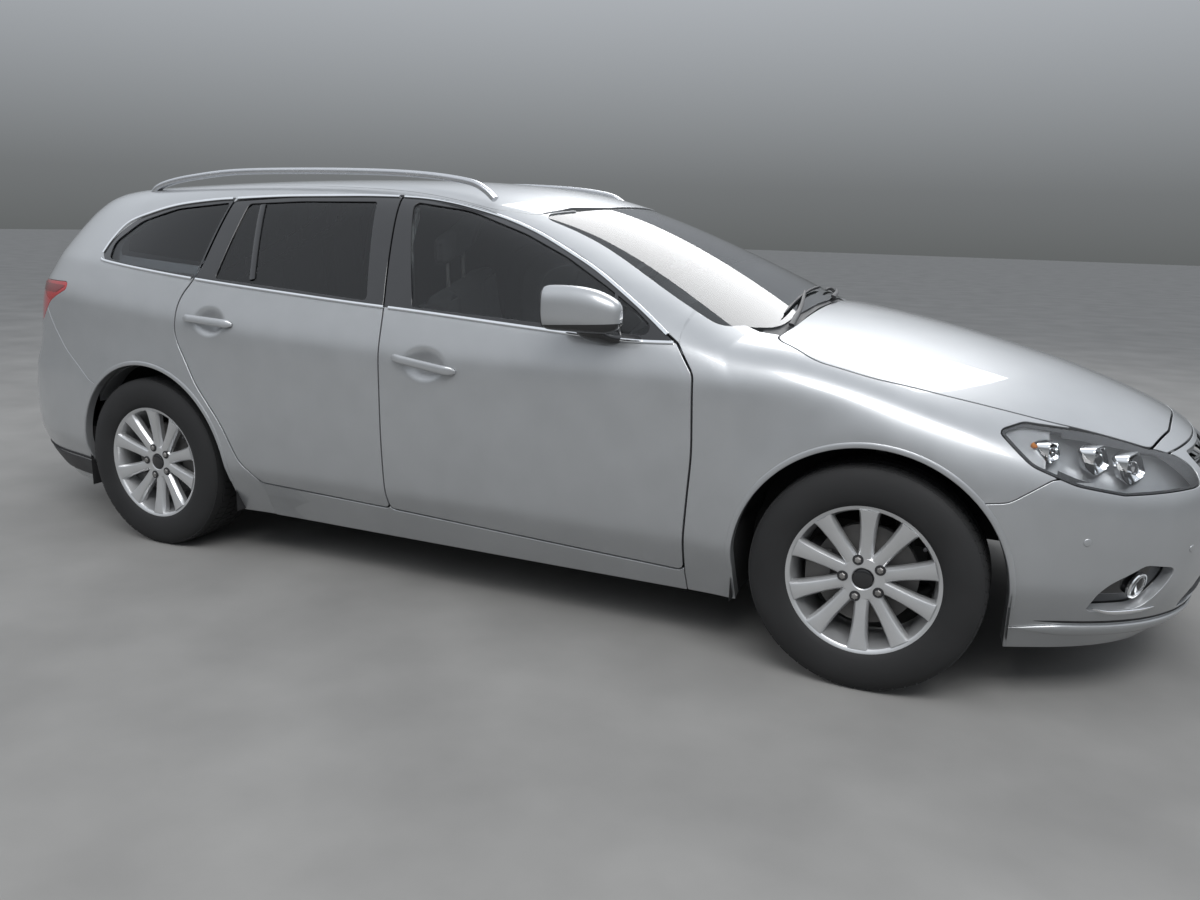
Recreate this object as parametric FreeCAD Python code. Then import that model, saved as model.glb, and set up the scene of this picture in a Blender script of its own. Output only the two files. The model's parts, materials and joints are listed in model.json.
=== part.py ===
"""A five-door station wagon: body panels, doors, glass, lamps, running gear and cabin.

Millimetres. +X is forward, +Y is the wagon's left and +Z is up. The origin lies on the
ground, under the middle of the body. Each sub-part becomes one file in parts/.
"""
import FreeCAD
import Part
import math
import os

Vector = FreeCAD.Vector

# Driving dimensions: stance
FRONT_AXLE_X = 1435.0
WHEELBASE = 2750.0
REAR_AXLE_X = FRONT_AXLE_X - WHEELBASE
TRACK = 1590.0
TYRE_RADIUS = 335.0
TYRE_WIDTH = 226.0
RIM_SEAT_RADIUS = 216.0
RIM_FLANGE_RADIUS = 232.5
RIM_WIDTH = 200.0
STUD_CIRCLE_RADIUS = 57.15
HUB_SEAT_OFFSET = 50.0

# Driving dimensions: body
HALF_WIDTH = 914.0
ARCH_RADIUS = 385.0
ARCH_CENTRE_Z = 338.0
ARCH_FLARE = 12.0
SHUT_GAP = 7.5
DOOR_DEPTH = 64.0
DOOR_SKIN = 10.0
DOOR_STEP = 26.0
GLASS_DEPTH = 5.0
GLASS_SETBACK = 6.0
FRAME_DEPTH = 34.0
FRAME_CLEARANCE = 10.0
SEAT_CLEARANCE = 0.3
PANEL_SEAM = 3.0
SILL_BOTTOM_Z = 190.0
WHEELHOUSE_GAP = 14.0
WHEELHOUSE_WALL = 8.0
FLOOR_Z = 205.0
FLOOR_WALL = 12.0

# Body form. Columns: x or z along the wagon, then the value there.
BELT_Z = ((-2300, 1122), (-1660, 1105), (-1090, 1073), (-690, 1044), (-203, 1014),
          (364, 973), (900, 955), (1300, 950))
SHOULDER_Z = ((-2300, 1000), (-1600, 950), (-1100, 905), (-700, 875), (0, 855),
              (900, 868), (1250, 885), (1435, 875), (1750, 795), (2100, 700))
# Columns: z, x of the foremost point at that height
NOSE_X = ((150, 2270), (180, 2300), (240, 2345), (330, 2380), (450, 2398), (560, 2400),
          (650, 2385), (720, 2345), (780, 2290), (850, 2230), (1000, 2150))
# Columns: z, x of the rearmost point at that height
TAIL_X = ((150, -2270), (180, -2300), (250, -2350), (350, -2385), (450, -2398),
          (560, -2400), (650, -2392), (700, -2370), (760, -2352), (850, -2345),
          (950, -2335), (1010, -2318), (1040, -2300), (1120, -2255), (1200, -2205),
          (1280, -2148), (1340, -2100), (1380, -2060), (1450, -2000))
# Columns: x, z on the centre line, drop in mm at 700 mm (bonnet) or 1 m (roof) from it
BONNET_Z = ((1050, 1056), (1180, 1046), (1400, 1012), (1650, 958), (1900, 893),
            (2100, 825), (2250, 765), (2330, 720))
BONNET_DROP = ((1000, 60), (1200, 65), (2130, 130), (2400, 150))
ROOF_Z = ((-2130, 1372), (-2000, 1388), (-1700, 1415), (-1300, 1438), (-900, 1452),
          (-500, 1456), (-200, 1450), (100, 1428), (330, 1398), (600, 1350))
ROOF_DROP = ((-2000, 100), (-300, 120), (190, 200), (400, 220))
TAIL_SQUARENESS = ((600, 3.6), (1000, 3.2), (1350, 2.6))
NOSE_SQUARENESS = 2.5
NOSE_START_X = 1450.0
TAIL_START_X = -1000.0
SCREEN_TOP = (330.0, 1395.0)
SCREEN_SLOPE = 0.43


def soft_step(distance, width):
    """Nothing below zero and the distance above it, rounded over the width."""
    if distance > 30 * width:
        return distance
    if distance < -30 * width:
        return 0.0
    return width * math.log1p(math.exp(distance / width))


def reading(table, at):
    """A smooth line through a table's rows, straight beyond its ends."""
    last = len(table) - 1

    def slope(row):
        before = table[max(row - 1, 0)]
        after = table[min(row + 1, last)]
        return (after[1] - before[1]) / (after[0] - before[0])

    if at <= table[0][0]:
        return table[0][1] + slope(0) * (at - table[0][0])
    if at >= table[last][0]:
        return table[last][1] + slope(last) * (at - table[last][0])
    row = 0
    while table[row + 1][0] < at:
        row += 1
    span = table[row + 1][0] - table[row][0]
    t = (at - table[row][0]) / span
    start = (1 + 2 * t) * (1 - t) ** 2 * table[row][1] + t * (1 - t) ** 2 * span * slope(row)
    end = t * t * (3 - 2 * t) * table[row + 1][1] + t * t * (t - 1) * span * slope(row + 1)
    return start + end


def half_width(x, z):
    """The flank's distance from the centre line before the body's ends are rounded."""
    y = HALF_WIDTH - 7 * (x / 1400) ** 2
    y -= 1.9e-4 * max(0.0, 650 - z) ** 2
    y -= 0.35 * soft_step(370 - z, 12)
    y -= 0.28 * soft_step(z - reading(SHOULDER_Z, x), 16)
    above_belt = z - reading(BELT_Z, x)
    y -= 0.22 * soft_step(above_belt, 6) + 2.78e-4 * max(0.0, above_belt) ** 2
    for axle_x in (FRONT_AXLE_X, REAR_AXLE_X):
        from_arch = math.hypot(x - axle_x, z - ARCH_CENTRE_Z) - ARCH_RADIUS
        y += ARCH_FLARE * math.exp(-(from_arch / 90) ** 2)
    return max(y, 60.0)


def inside_plan(x, y, z):
    """How far a point lies inside the flanks and the rounded ends."""
    half = half_width(x, z)
    if x > NOSE_START_X:
        power = NOSE_SQUARENESS
        along = (x - NOSE_START_X) / (reading(NOSE_X, z) - NOSE_START_X)
    elif x < TAIL_START_X:
        power = reading(TAIL_SQUARENESS, z)
        along = (TAIL_START_X - x) / (TAIL_START_X - reading(TAIL_X, z))
    else:
        return half - abs(y)
    return half * (1 - ((abs(y) / half) ** power + along ** power) ** (1 / power))


def soft_least(values, rounding):
    """The least value, with the edge between two equal ones rounded."""
    least = min(values)
    return least - rounding * math.log(sum(math.exp((least - value) / rounding) for value in values))


def inside_lower(x, y, z):
    """How far a point lies inside the body under the bonnet and the belt."""
    top = reading(BONNET_Z, x) - reading(BONNET_DROP, x) * (y / 700) ** 2
    return soft_least((inside_plan(x, y, z), top - z), 40)


def inside_upper(x, y, z):
    """How far a point lies inside the flanks, the roof and the windscreen."""
    roof = reading(ROOF_Z, x) - reading(ROOF_DROP, x) * (y / 1000) ** 2
    bow = 360 - 136 * (x - 190) / 735
    screen = SCREEN_TOP[1] - SCREEN_SLOPE * (x - SCREEN_TOP[0]) - bow * (y / 1000) ** 2
    screen += 10 * (1 - ((x - 740) / 430) ** 2)
    return soft_least((inside_plan(x, y, z), roof - z, 0.9 * (screen - z)), 30)


def surface_point(inside, start, direction, reach):
    """The point where a ray from inside the form leaves it."""
    near, far = 0.0, reach
    for _ in range(26):
        middle = (near + far) / 2
        point = start + direction * middle
        if inside(point.x, point.y, point.z) > 0:
            near = middle
        else:
            far = middle
    return start + direction * near


def facet(first, second, third):
    """A flat three-cornered face."""
    return Part.Face(Part.makePolygon([first, second, third, first]))


def quad(first, second, third, fourth):
    """Two flat faces over four corners, split along the shorter diagonal."""
    if (first - third).Length <= (second - fourth).Length:
        return [facet(first, second, third), facet(first, third, fourth)]
    return [facet(first, second, fourth), facet(second, third, fourth)]


def skin(sections):
    """A solid ruled straight between few sections, each a list of (outer, inner) points."""
    loops = [[outer for outer, inner in section] + [inner for outer, inner in reversed(section)]
             for section in sections]
    faces = []
    for loop, onward in zip(loops, loops[1:]):
        for index in range(len(loop)):
            following = (index + 1) % len(loop)
            faces += quad(loop[index], loop[following], onward[following], onward[index])
    for section in (sections[0], sections[-1]):
        for (outer, inner), (next_outer, next_inner) in zip(section, section[1:]):
            faces += quad(outer, next_outer, next_inner, inner)
    shell = Part.makeCompound(faces)
    shell.sewShape()
    solid = Part.makeSolid(shell.Shells[0])
    if solid.Volume < 0:
        solid.reverse()
    return solid


def rounded_wire(points, place):
    """A closed wire of lines and arcs. Columns: u, v, corner radius."""
    count = len(points)
    corners = []
    for index, (u, v, radius) in enumerate(points):
        here = Vector(u, v, 0)
        before = Vector(points[index - 1][0], points[index - 1][1], 0)
        after = Vector(points[(index + 1) % count][0], points[(index + 1) % count][1], 0)
        back = (before - here).normalize()
        on = (after - here).normalize()
        half_angle = back.getAngle(on) / 2
        if radius <= 0 or half_angle > math.pi / 2 - 0.002:
            corners.append((here, None, here))
            continue
        cut = radius / math.tan(half_angle)
        middle = (back + on).normalize()
        deep = radius / math.sin(half_angle) - radius
        corners.append((here + back * cut, here + middle * deep, here + on * cut))
    edges = []
    for index, (start, middle, end) in enumerate(corners):
        if middle is not None:
            edges.append(Part.Arc(place(start), place(middle), place(end)).toShape())
        onward = corners[(index + 1) % count][0]
        if (onward - end).Length > 0.01:
            edges.append(Part.LineSegment(place(end), place(onward)).toShape())
    return Part.Wire(edges)


def box(x_range, y_range, z_range):
    """A block between two values on each axis."""
    size = (x_range[1] - x_range[0], y_range[1] - y_range[0], z_range[1] - z_range[0])
    return Part.makeBox(*size, Vector(x_range[0], y_range[0], z_range[0]))


def tube(start, end, radius, bore=0.0):
    """A round bar or pipe between two points."""
    along = end - start
    solid = Part.makeCylinder(radius, along.Length, start, along)
    if bore:
        solid = solid.cut(Part.makeCylinder(bore, along.Length, start, along))
    return solid


def bent_bar(points, radius, bend, bore=0.0):
    """A round bar or pipe along straight runs joined by arcs of one bend radius."""
    edges = []
    start = points[0]
    for before, corner, after in zip(points, points[1:], points[2:]):
        back = (before - corner).normalize()
        on = (after - corner).normalize()
        half_angle = back.getAngle(on) / 2
        cut = bend / math.tan(half_angle)
        middle = corner + (back + on).normalize() * (bend / math.sin(half_angle) - bend)
        edges.append(Part.LineSegment(start, corner + back * cut).toShape())
        edges.append(Part.Arc(corner + back * cut, middle, corner + on * cut).toShape())
        start = corner + on * cut
    edges.append(Part.LineSegment(start, points[-1]).toShape())
    path = Part.Wire(edges)
    along = points[1] - points[0]
    solids = []
    for size in (radius, bore):
        if size:
            profile = Part.Wire([Part.makeCircle(size, points[0], along)])
            solids.append(path.makePipeShell([profile], True, True))
    return solids[0] if len(solids) == 1 else solids[0].cut(solids[1])


def ring(profile, centre, axis=Vector(0, 1, 0)):
    """A solid turned about the Y axis through the centre. Columns: y, radius."""
    corners = [centre + Vector(0, y, radius) for y, radius in profile]
    face = Part.Face(Part.makePolygon(corners + corners[:1]))
    return face.revolve(centre, axis, 360)


def biggest(shape, count=1):
    """The largest solids of a shape, without the crumbs that a cut leaves."""
    solids = sorted(shape.Solids, key=lambda solid: -solid.Volume)[:count]
    return solids[0] if count == 1 else Part.makeCompound(solids)


def seated_on(carriers, shape, up=1):
    """The shape trimmed to stand just over its carriers, or to hang just under them."""
    for carrier in carriers:
        shape = shape.cut(carrier.translated(Vector(0, 0, up * SEAT_CLEARANCE)))
    return biggest(shape)


def mirrored(shape):
    """The same piece on the wagon's left."""
    return shape.mirror(Vector(0, 0, 0), Vector(0, 1, 0))


def joined(shapes):
    """Solids that touch or overlap, as one."""
    whole = shapes[0].fuse(list(shapes[1:]))
    return whole.removeSplitter()


def export(name, shapes):
    """Writes one sub-part; like pieces that don't touch share its file."""
    solids = []
    for shape in shapes:
        solids.extend(shape.Solids)
    whole = solids[0] if len(solids) == 1 else Part.makeCompound(solids)
    whole.exportStep("parts/%s.step" % name)


# Shut-lines seen from the side. Columns: x, z, corner radius.
DOOR_TOP_Z = ((-1280, 1320), (-1013, 1351), (-700, 1374), (-349, 1383), (-150, 1373),
              (17, 1343), (242, 1278), (418, 1204), (575, 1129), (727, 1044), (850, 966))
FRONT_DOOR = ((-203, 301, 25), (890, 252, 25), (918, 640, 900), (908, 880, 60), (845, 966, 25),
              (575, 1133, 900), (418, 1208, 900), (242, 1279, 900), (17, 1345, 700),
              (-150, 1374, 700), (-296, 1383, 8), (-211, 1016, 300))
REAR_DOOR = ((-195.5, 301, 20), (-203.5, 1016, 300), (-288.5, 1383, 8), (-700, 1376, 1500),
             (-1015, 1352, 20), (-1050, 1085, 200), (-1131, 985, 160), (-1141, 850, 160),
             (-1040, 676, 260), (-930, 540, 500), (-860, 395, 180), (-780, 318, 60))
# Side glass in its frame
FRONT_WINDOW = ((-93, 1028, 12), (780, 990, 18), (566, 1105, 900), (401, 1186, 900),
                (225, 1257, 700), (-10, 1330, 500), (-196, 1346, 12))
REAR_WINDOW = ((-270, 1040, 12), (-372, 1348, 14), (-700, 1343, 1500), (-972, 1324, 14),
               (-996, 1094, 14), (-690, 1068, 900))
QUARTER_WINDOW = ((-1082, 1100, 12), (-1048, 1318, 14), (-1273, 1296, 300), (-1420, 1255, 160),
                  (-1530, 1160, 30), (-1500, 1124, 12))
# Door openings in the frame, inside the doors' edges
FRONT_OPENING = ((-160, 345, 60), (840, 300, 60), (872, 640, 900), (855, 880, 60), (800, 935, 30),
                 (560, 1090, 900), (400, 1165, 900), (232, 1234, 900), (15, 1298, 700),
                 (-150, 1330, 400), (-240, 1335, 30), (-165, 1016, 300))
REAR_OPENING = ((-255, 345, 50), (-258, 1016, 300), (-338, 1337, 30), (-700, 1334, 1500),
                (-965, 1310, 40), (-1002, 1062, 150), (-1078, 968, 140), (-1090, 860, 160),
                (-998, 700, 260), (-888, 560, 400), (-818, 410, 120), (-760, 362, 40))
# The rear quarter in front of the bumper, round the wheel arch
QUARTER = ((-780, 318, 60), (-860, 395, 180), (-930, 540, 500), (-1040, 676, 260),
           (-1141, 850, 160), (-1131, 985, 160), (-1050, 1085, 200), (-1015, 1352, 10), (-1015, 1520, 0),
           (-2500, 1520, 0), (-2500, 905, 0), (-1985, 905, 40), (-1800, 745, 200),
           (-1640, 640, 30), (-1500, 600, 0), (-1500, 150, 0), (-780, 150, 0))
# The front wing between the door, the arch and the lamp
WING = ((890, 150, 0), (890, 252, 25), (918, 640, 900), (908, 880, 60), (845, 966, 25),
        (845, 1100, 0), (2300, 1100, 0), (2300, 735, 0), (1889, 676, 30), (1792, 612, 60),
        (1700, 602, 0), (1435, 500, 0), (1435, 150, 0))
# Seen from above. Columns: x, y, corner radius.
BONNET = ((1128, 0, 0), (1118, -560, 300), (1100, -738, 60), (1240, -822, 120), (1400, -815, 400),
          (1607, -753, 900), (1867, -665, 900), (2137, -532, 60), (2196, -330, 200), (2236, 0, 900))
SCREEN = ((372, 0, 900), (330, -300, 700), (206, -545, 40), (443, -568, 900), (789, -715, 900),
          (940, -762, 60), (1075, -600, 200), (1098, -300, 900), (1108, 0, 0))
ROOF_SIDE_Y = 596.0
ROOF = ((366, 0, 900), (324, -300, 700), (200, -545, 60), (60, -596, 200), (-1640, -596, 200),
        (-1900, -540, 300), (-2040, -420, 200), (-2090, 0, 0))
# Seen from behind. Columns: y, z, corner radius.
TAILGATE = ((0, 690, 0), (-560, 690, 60), (-596, 860, 60), (-600, 1010, 60), (-640, 1075, 60),
            (-572, 1290, 120), (-520, 1330, 40), (-380, 1354, 200), (0, 1366, 0))
TAILGATE_GLASS = ((0, 1050, 0), (-560, 1062, 40), (-500, 1316, 60), (0, 1338, 0))


def both_sides(points):
    """An outline given for the right side, closed by its mirror image. Columns: u, v, radius."""
    other = [(u, -v, radius) for u, v, radius in reversed(points) if abs(v) > 0.01]
    return list(points) + other


def both_sides_of_first(points):
    """The same where the first column runs across the wagon."""
    other = [(-u, v, radius) for u, v, radius in reversed(points) if abs(u) > 0.01]
    return list(points) + other


def wire_grown(wire, grow):
    """The wire moved outward by a distance, or inward where it is negative."""
    if abs(grow) < 1e-6:
        return wire
    return wire.makeOffset2D(grow, 2, False, False, True)


def side_prism(points, y_from, y_to, grow=0.0):
    """Columns: x, z, corner radius. Swept across the wagon."""
    wire = wire_grown(rounded_wire(points, lambda p: Vector(p.x, y_from, p.y)), grow)
    return Part.Face(wire).extrude(Vector(0, y_to - y_from, 0))


def front_prism(points, x_from, x_to, grow=0.0):
    """Columns: y, z, corner radius. Swept along the wagon."""
    wire = wire_grown(rounded_wire(points, lambda p: Vector(x_from, p.x, p.y)), grow)
    return Part.Face(wire).extrude(Vector(x_to - x_from, 0, 0))


def top_prism(points, z_from, z_to, grow=0.0):
    """Columns: x, y, corner radius. Swept upward."""
    wire = wire_grown(rounded_wire(points, lambda p: Vector(p.x, p.y, z_from)), grow)
    return Part.Face(wire).extrude(Vector(0, 0, z_to - z_from))


# Skins of the body form, each a ruled solid through few sections
SIDE_ROWS_Z = (180, 270, 350, 500, 700, 850, 900)
WINDOW_ROWS = (0.0, 0.5, 1.0)
NOSE_DEPTH = 40.0
TAIL_DEPTH = 60.0
ROOF_EDGE_Y = ((-1640, -598), (60, -598), (206, -549), (443, -572), (789, -718), (940, -765),
               (1010, -780))
RAIL_SHARE = 0.55
FRAME_STATIONS_X = (-1640, -1480, -1180, -860, -480, -150, 180, 443, 700, 900, 1010)
QUARTER_STATIONS_X = (-1700, -1480, -1180, -860, -700)
WING_STATIONS_X = (WING[0][0] - PANEL_SEAM, 950, 1060)
REAR_DOOR_STATIONS_X = (-1180, -860, -480, -150)
FRONT_DOOR_STATIONS_X = (-330, -150, 206, 443, 700, 900, 1010)


def flank_point(x, z):
    """The right flank's surface at a place seen from the side."""
    return surface_point(inside_upper, Vector(x, 0, z), Vector(0, -1, 0), 1000)


def flank_rows(x):
    """Heights of a side section's points, from the sill to the top of the doors."""
    belt = reading(BELT_Z, x)
    top = max(reading(DOOR_TOP_Z, x), belt + 20) + 3
    return [z for z in SIDE_ROWS_Z] + [belt + (top - belt) * share for share in WINDOW_ROWS]


def side_skin(stations, start, depth):
    """The right flank between two depths below its surface."""
    sections = []
    for x in stations:
        section = []
        for z in flank_rows(x):
            surface = flank_point(x, z)
            section.append((surface + Vector(0, start, 0), surface + Vector(0, start + depth, 0)))
        sections.append(section)
    return skin(sections)


def side_and_rail_skin(stations, depth):
    """The right flank with the roof's edge and the windscreen pillar above it."""
    sections = []
    for x in stations:
        section = []
        for z in flank_rows(x):
            surface = flank_point(x, z)
            section.append((surface, surface + Vector(0, depth, 0)))
        edge_y = reading(ROOF_EDGE_Y, x)
        top = section[-1][0]
        edge = surface_point(inside_upper, Vector(x, edge_y, 900), Vector(0, 0, 1), 700)
        middle_y = (top.y + edge.y) / 2
        middle = surface_point(inside_upper, Vector(x, middle_y, 900), Vector(0, 0, 1), 700)
        flank_inner = section[-1][1]
        edge_inner = Vector(x, edge_y, edge.z - depth * RAIL_SHARE)
        if edge_y < flank_inner.y + 6:
            edge_inner = flank_inner + Vector(0, 6, 3)
        section.append((middle, (flank_inner + edge_inner) * 0.5))
        section.append((edge, edge_inner))
        sections.append(section)
    return skin(sections)


def wrapped_skin(inside, centre_x, angles, rows, lifts, start, depth):
    """A skin round one end of the body, in upright sections that meet in an axis."""
    sections = []
    for angle in angles:
        out = Vector(math.cos(math.radians(angle)), math.sin(math.radians(angle)), 0)
        centre = Vector(centre_x, 0, 0)
        section = []
        for z in rows:
            surface = surface_point(inside, centre + Vector(0, 0, z), out, 2000)
            section.append((surface - out * start, surface - out * (start + depth)))
        knee = centre + Vector(0, 0, rows[-1]) + out * ((section[-1][0] - centre) * out * 0.72)
        for lift in lifts:
            ray = out * math.cos(math.radians(lift)) + Vector(0, 0, math.sin(math.radians(lift)))
            surface = surface_point(inside, knee, ray, 900)
            section.append((surface - ray * start, surface - ray * (start + depth)))
        sections.append(section)
    return skin(sections)


NOSE_AXIS_X = 900.0
NOSE_ANGLES = (-93, -85, -77, -69, -61, -54, -47, -41, -36, -31, -26, -20, -14, -7, 0)
NOSE_ROWS_Z = (170, 210, 260, 330, 420, 500, 570, 640)
NOSE_LIFTS = (12, 24, 36, 50, 66)
TAIL_AXIS_X = -700.0
TAIL_ANGLES = (-89, -97, -106, -115, -123, -130, -136, -141, -146, -150, -154, -158, -163, -168, -174, -180)
TAIL_ROWS_Z = (170, 210, 260, 340, 450, 560, 650, 720, 800, 870, 940, 1010, 1070, 1130, 1200, 1270)
TAIL_LIFTS = (12, 26, 44)
BONNET_STATIONS_X = (1060, 1180, 1320, 1460, 1600, 1740, 1880, 2010, 2110, 2190, 2270)
BONNET_LIFTS = (20, 28, 36, 46, 58, 72, 90)
BONNET_KNEE = (380.0, 600.0)
BONNET_DEPTH = 24.0
ROOF_STATIONS_X = (-2100, -1950, -1700, -1400, -1000, -500, -100, 120, 260, 400)
ROOF_ROWS_Y = (0, 200, 380, 500, 560, 600)
ROOF_DEPTH = 28.0
SCREEN_STATIONS_X = (180, 330, 520, 740, 950, 1130)
SCREEN_ROWS_Y = (0, 200, 380, 540, 660, 780)


def whole(half):
    """A right half and its mirror image as one."""
    return joined([half, mirrored(half)])


def full_row(sections_of_half):
    """Sections across the wagon from those of the right half, whose first point is central."""
    full = []
    for half in sections_of_half:
        flip = [(Vector(o.x, -o.y, o.z), Vector(i.x, -i.y, i.z)) for o, i in half[1:]]
        full.append(list(reversed(flip)) + half)
    return full


def bonnet_skin(depth):
    """The top of the nose, in upright sections across the wagon."""
    sections = []
    knee_y, knee_z = BONNET_KNEE
    for x in BONNET_STATIONS_X:
        half = []
        for y in (0, knee_y / 2):
            surface = surface_point(inside_lower, Vector(x, -y, knee_z), Vector(0, 0, 1), 700)
            half.append((surface, surface - Vector(0, 0, depth)))
        for lift in reversed(BONNET_LIFTS):
            ray = Vector(0, -math.cos(math.radians(lift)), math.sin(math.radians(lift)))
            surface = surface_point(inside_lower, Vector(x, -knee_y, knee_z), ray, 900)
            half.append((surface, surface - ray * depth))
        sections.append(half)
    return skin(full_row(sections))


def overhead_skin(stations, rows_y, start, depth):
    """The roof or the windscreen, measured straight down from its surface."""
    sections = []
    for x in stations:
        half = []
        for y in rows_y:
            surface = surface_point(inside_upper, Vector(x, -y, 900), Vector(0, 0, 1), 700)
            half.append((surface - Vector(0, 0, start), surface - Vector(0, 0, start + depth)))
        sections.append(half)
    return skin(full_row(sections))


def arch_cut(axle_x):
    """The round opening over a right wheel, down to the ground."""
    round_part = Part.makeCylinder(ARCH_RADIUS, 420, Vector(axle_x, -1050, ARCH_CENTRE_Z), Vector(0, 1, 0))
    below = box((axle_x - ARCH_RADIUS, axle_x + ARCH_RADIUS), (-1050, -630), (0, ARCH_CENTRE_Z))
    return round_part.fuse(below)


def door(outline, stations, window, hinge):
    """A right door: outer skin, stepped inner panel, framed window opening and hinge barrels."""
    whole_door = side_skin(stations, 0, DOOR_DEPTH)
    whole_door = whole_door.common(side_prism(outline, -1000, -400, -SHUT_GAP))
    inner_panel = side_prism(outline, -1000, -400, -SHUT_GAP - DOOR_STEP)
    step = side_skin(stations, DOOR_SKIN, DOOR_DEPTH).cut(inner_panel)
    whole_door = whole_door.cut(step).cut(side_prism(window, -1000, -400))
    for pocket in hinge_pocket(hinge):
        whole_door = whole_door.cut(pocket)
    for barrel, bore in hinge_knuckles(hinge):
        whole_door = whole_door.fuse(barrel).cut(bore)
    return whole_door


# Door hinges. Columns: x and y of the pin's line, heights of the two hinges.
FRONT_HINGE = (842.0, -893.0, (560.0, 815.0))
REAR_HINGE = (-262.0, -895.0, (560.0, 810.0))
PIN_RADIUS = 6.0
PIN_CLEARANCE = 0.08
KNUCKLE_RADIUS = 12.0
HINGE_TROUGH_Y = -815.0
HINGE_REACH = 80.0
HINGE_ROOT = 46.0


def hinge_pocket(hinge):
    """The hollow in a door's inner side where its hinges turn."""
    x, y, heights = hinge
    return [box((x - KNUCKLE_RADIUS, x + HINGE_REACH), (y - 7.5, -700), (z - 40, z + 40)) for z in heights]


def hinge_knuckles(hinge):
    """The door's barrels round the pins, with the web that carries each."""
    x, y, heights = hinge
    barrels = []
    for z in heights:
        barrel = Part.makeCylinder(KNUCKLE_RADIUS, 36, Vector(x, y, z - 18))
        web = box((x - KNUCKLE_RADIUS - 4, x), (y - 2, y + KNUCKLE_RADIUS), (z - 18, z + 18))
        bore = Part.makeCylinder(PIN_RADIUS + PIN_CLEARANCE, 60, Vector(x, y, z - 30))
        barrels.append((barrel.fuse(web), bore))
    return barrels


def hinge_brackets(hinge):
    """The body's pins with a plate above and below each barrel."""
    x, y, heights = hinge
    pieces = []
    for z in heights:
        pin = Part.makeCylinder(PIN_RADIUS, 64, Vector(x, y, z - 32))
        plates = []
        for low in (z - 32, z + 22):
            plates.append(box((x - PIN_RADIUS, x + PIN_RADIUS), (y, HINGE_TROUGH_Y + 4), (low, low + 10)))
            plates.append(box((x - PIN_RADIUS, x + HINGE_ROOT), (HINGE_TROUGH_Y - 6, HINGE_TROUGH_Y + 8),
                              (low, low + 10)))
        pieces.append(pin.fuse(plates))
    return pieces


def hinge_trough(hinge, front_x):
    """The recess in a pillar that a door's front edge swings into."""
    return box((hinge[0] - 14, front_x + 6), (-1000, HINGE_TROUGH_Y), (285, 960))


def side_frame(quarter, wing, bumper):
    """The right sill, pillars, roof rail and inner rear panel, behind the doors."""
    frame = side_and_rail_skin(FRAME_STATIONS_X, DOOR_DEPTH + FRAME_CLEARANCE + FRAME_DEPTH)
    doors = side_prism(FRONT_DOOR, -1000, -400).fuse(side_prism(REAR_DOOR, -1000, -400))
    pocket = side_skin(FRAME_STATIONS_X, -20, DOOR_DEPTH + FRAME_CLEARANCE + 20)
    frame = frame.cut(pocket.common(doors))
    for opening, hinge in ((FRONT_OPENING, FRONT_HINGE), (REAR_OPENING, REAR_HINGE)):
        frame = frame.cut(side_prism(opening, -1000, -400))
        frame = frame.cut(hinge_trough(hinge, hinge[0] + HINGE_REACH - 8))
    quarter_pocket = side_skin(QUARTER_STATIONS_X, -20, 20 + TAIL_DEPTH / 2)
    frame = frame.cut(quarter_pocket.common(side_prism(QUARTER, -1000, -400, PANEL_SEAM)))
    frame = frame.cut(side_skin(WING_STATIONS_X, -20, 20 + NOSE_DEPTH / 2))
    frame = frame.cut(side_prism(QUARTER_WINDOW, -1000, -400, PANEL_SEAM))
    frame = frame.cut(quarter).cut(wing).cut(bumper)
    for axle_x in (FRONT_AXLE_X, REAR_AXLE_X):
        frame = frame.cut(arch_cut(axle_x))
    for overhead in (top_prism(both_sides(ROOF), 1000, 1600), top_prism(both_sides(SCREEN), 900, 1600),
                     top_prism(both_sides(BONNET), 640, 1300)):
        frame = frame.cut(overhead)
    frame = biggest(frame)
    for hinge in (FRONT_HINGE, REAR_HINGE):
        frame = frame.fuse(hinge_brackets(hinge))
    return frame


def grille():
    """Slats in a rim, in the front bumper's opening, and the same in the lower intake."""
    plate = wrapped_skin(inside_lower, NOSE_AXIS_X, NOSE_ANGLES, NOSE_ROWS_Z, NOSE_LIFTS, 12, 16)
    plate = whole(plate)
    pieces = []
    for outline, pitch in ((GRILLE, GRILLE_PITCH), (LOWER_INTAKE, LOWER_PITCH)):
        across = both_sides_of_first(outline)
        panel = plate.common(front_prism(across, 1900, 2500, -SEAT_CLEARANCE))
        hollow = front_prism(across, 1900, 2500, -GRILLE_RIM)
        bounds = hollow.BoundBox
        z = bounds.ZMin
        while z < bounds.ZMax:
            slot = box((1900, 2500), (-800, 800), (z, z + pitch - GRILLE_SLAT))
            panel = panel.cut(slot.common(hollow))
            z += pitch
        pieces.append(panel)
    return pieces


GRILLE_PITCH = 44.0
LOWER_PITCH = 40.0
GRILLE_SLAT = 12.0
GRILLE_RIM = 14.0


def side_glass(outline, stations):
    """One side window, set into its frame."""
    return side_skin(stations, GLASS_SETBACK, GLASS_DEPTH).common(side_prism(outline, -1000, -400))


# Outlines of lamps, grille and bumper openings
# Columns: x, z, corner radius, seen from the side
HEADLAMP_SIDE = ((1740, 792, 8), (1836, 708, 120), (1950, 661, 200), (2070, 636, 0), (2420, 636, 0),
                 (2420, 745, 0), (2130, 742, 0), (1950, 782, 0), (1800, 806, 60))
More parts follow.
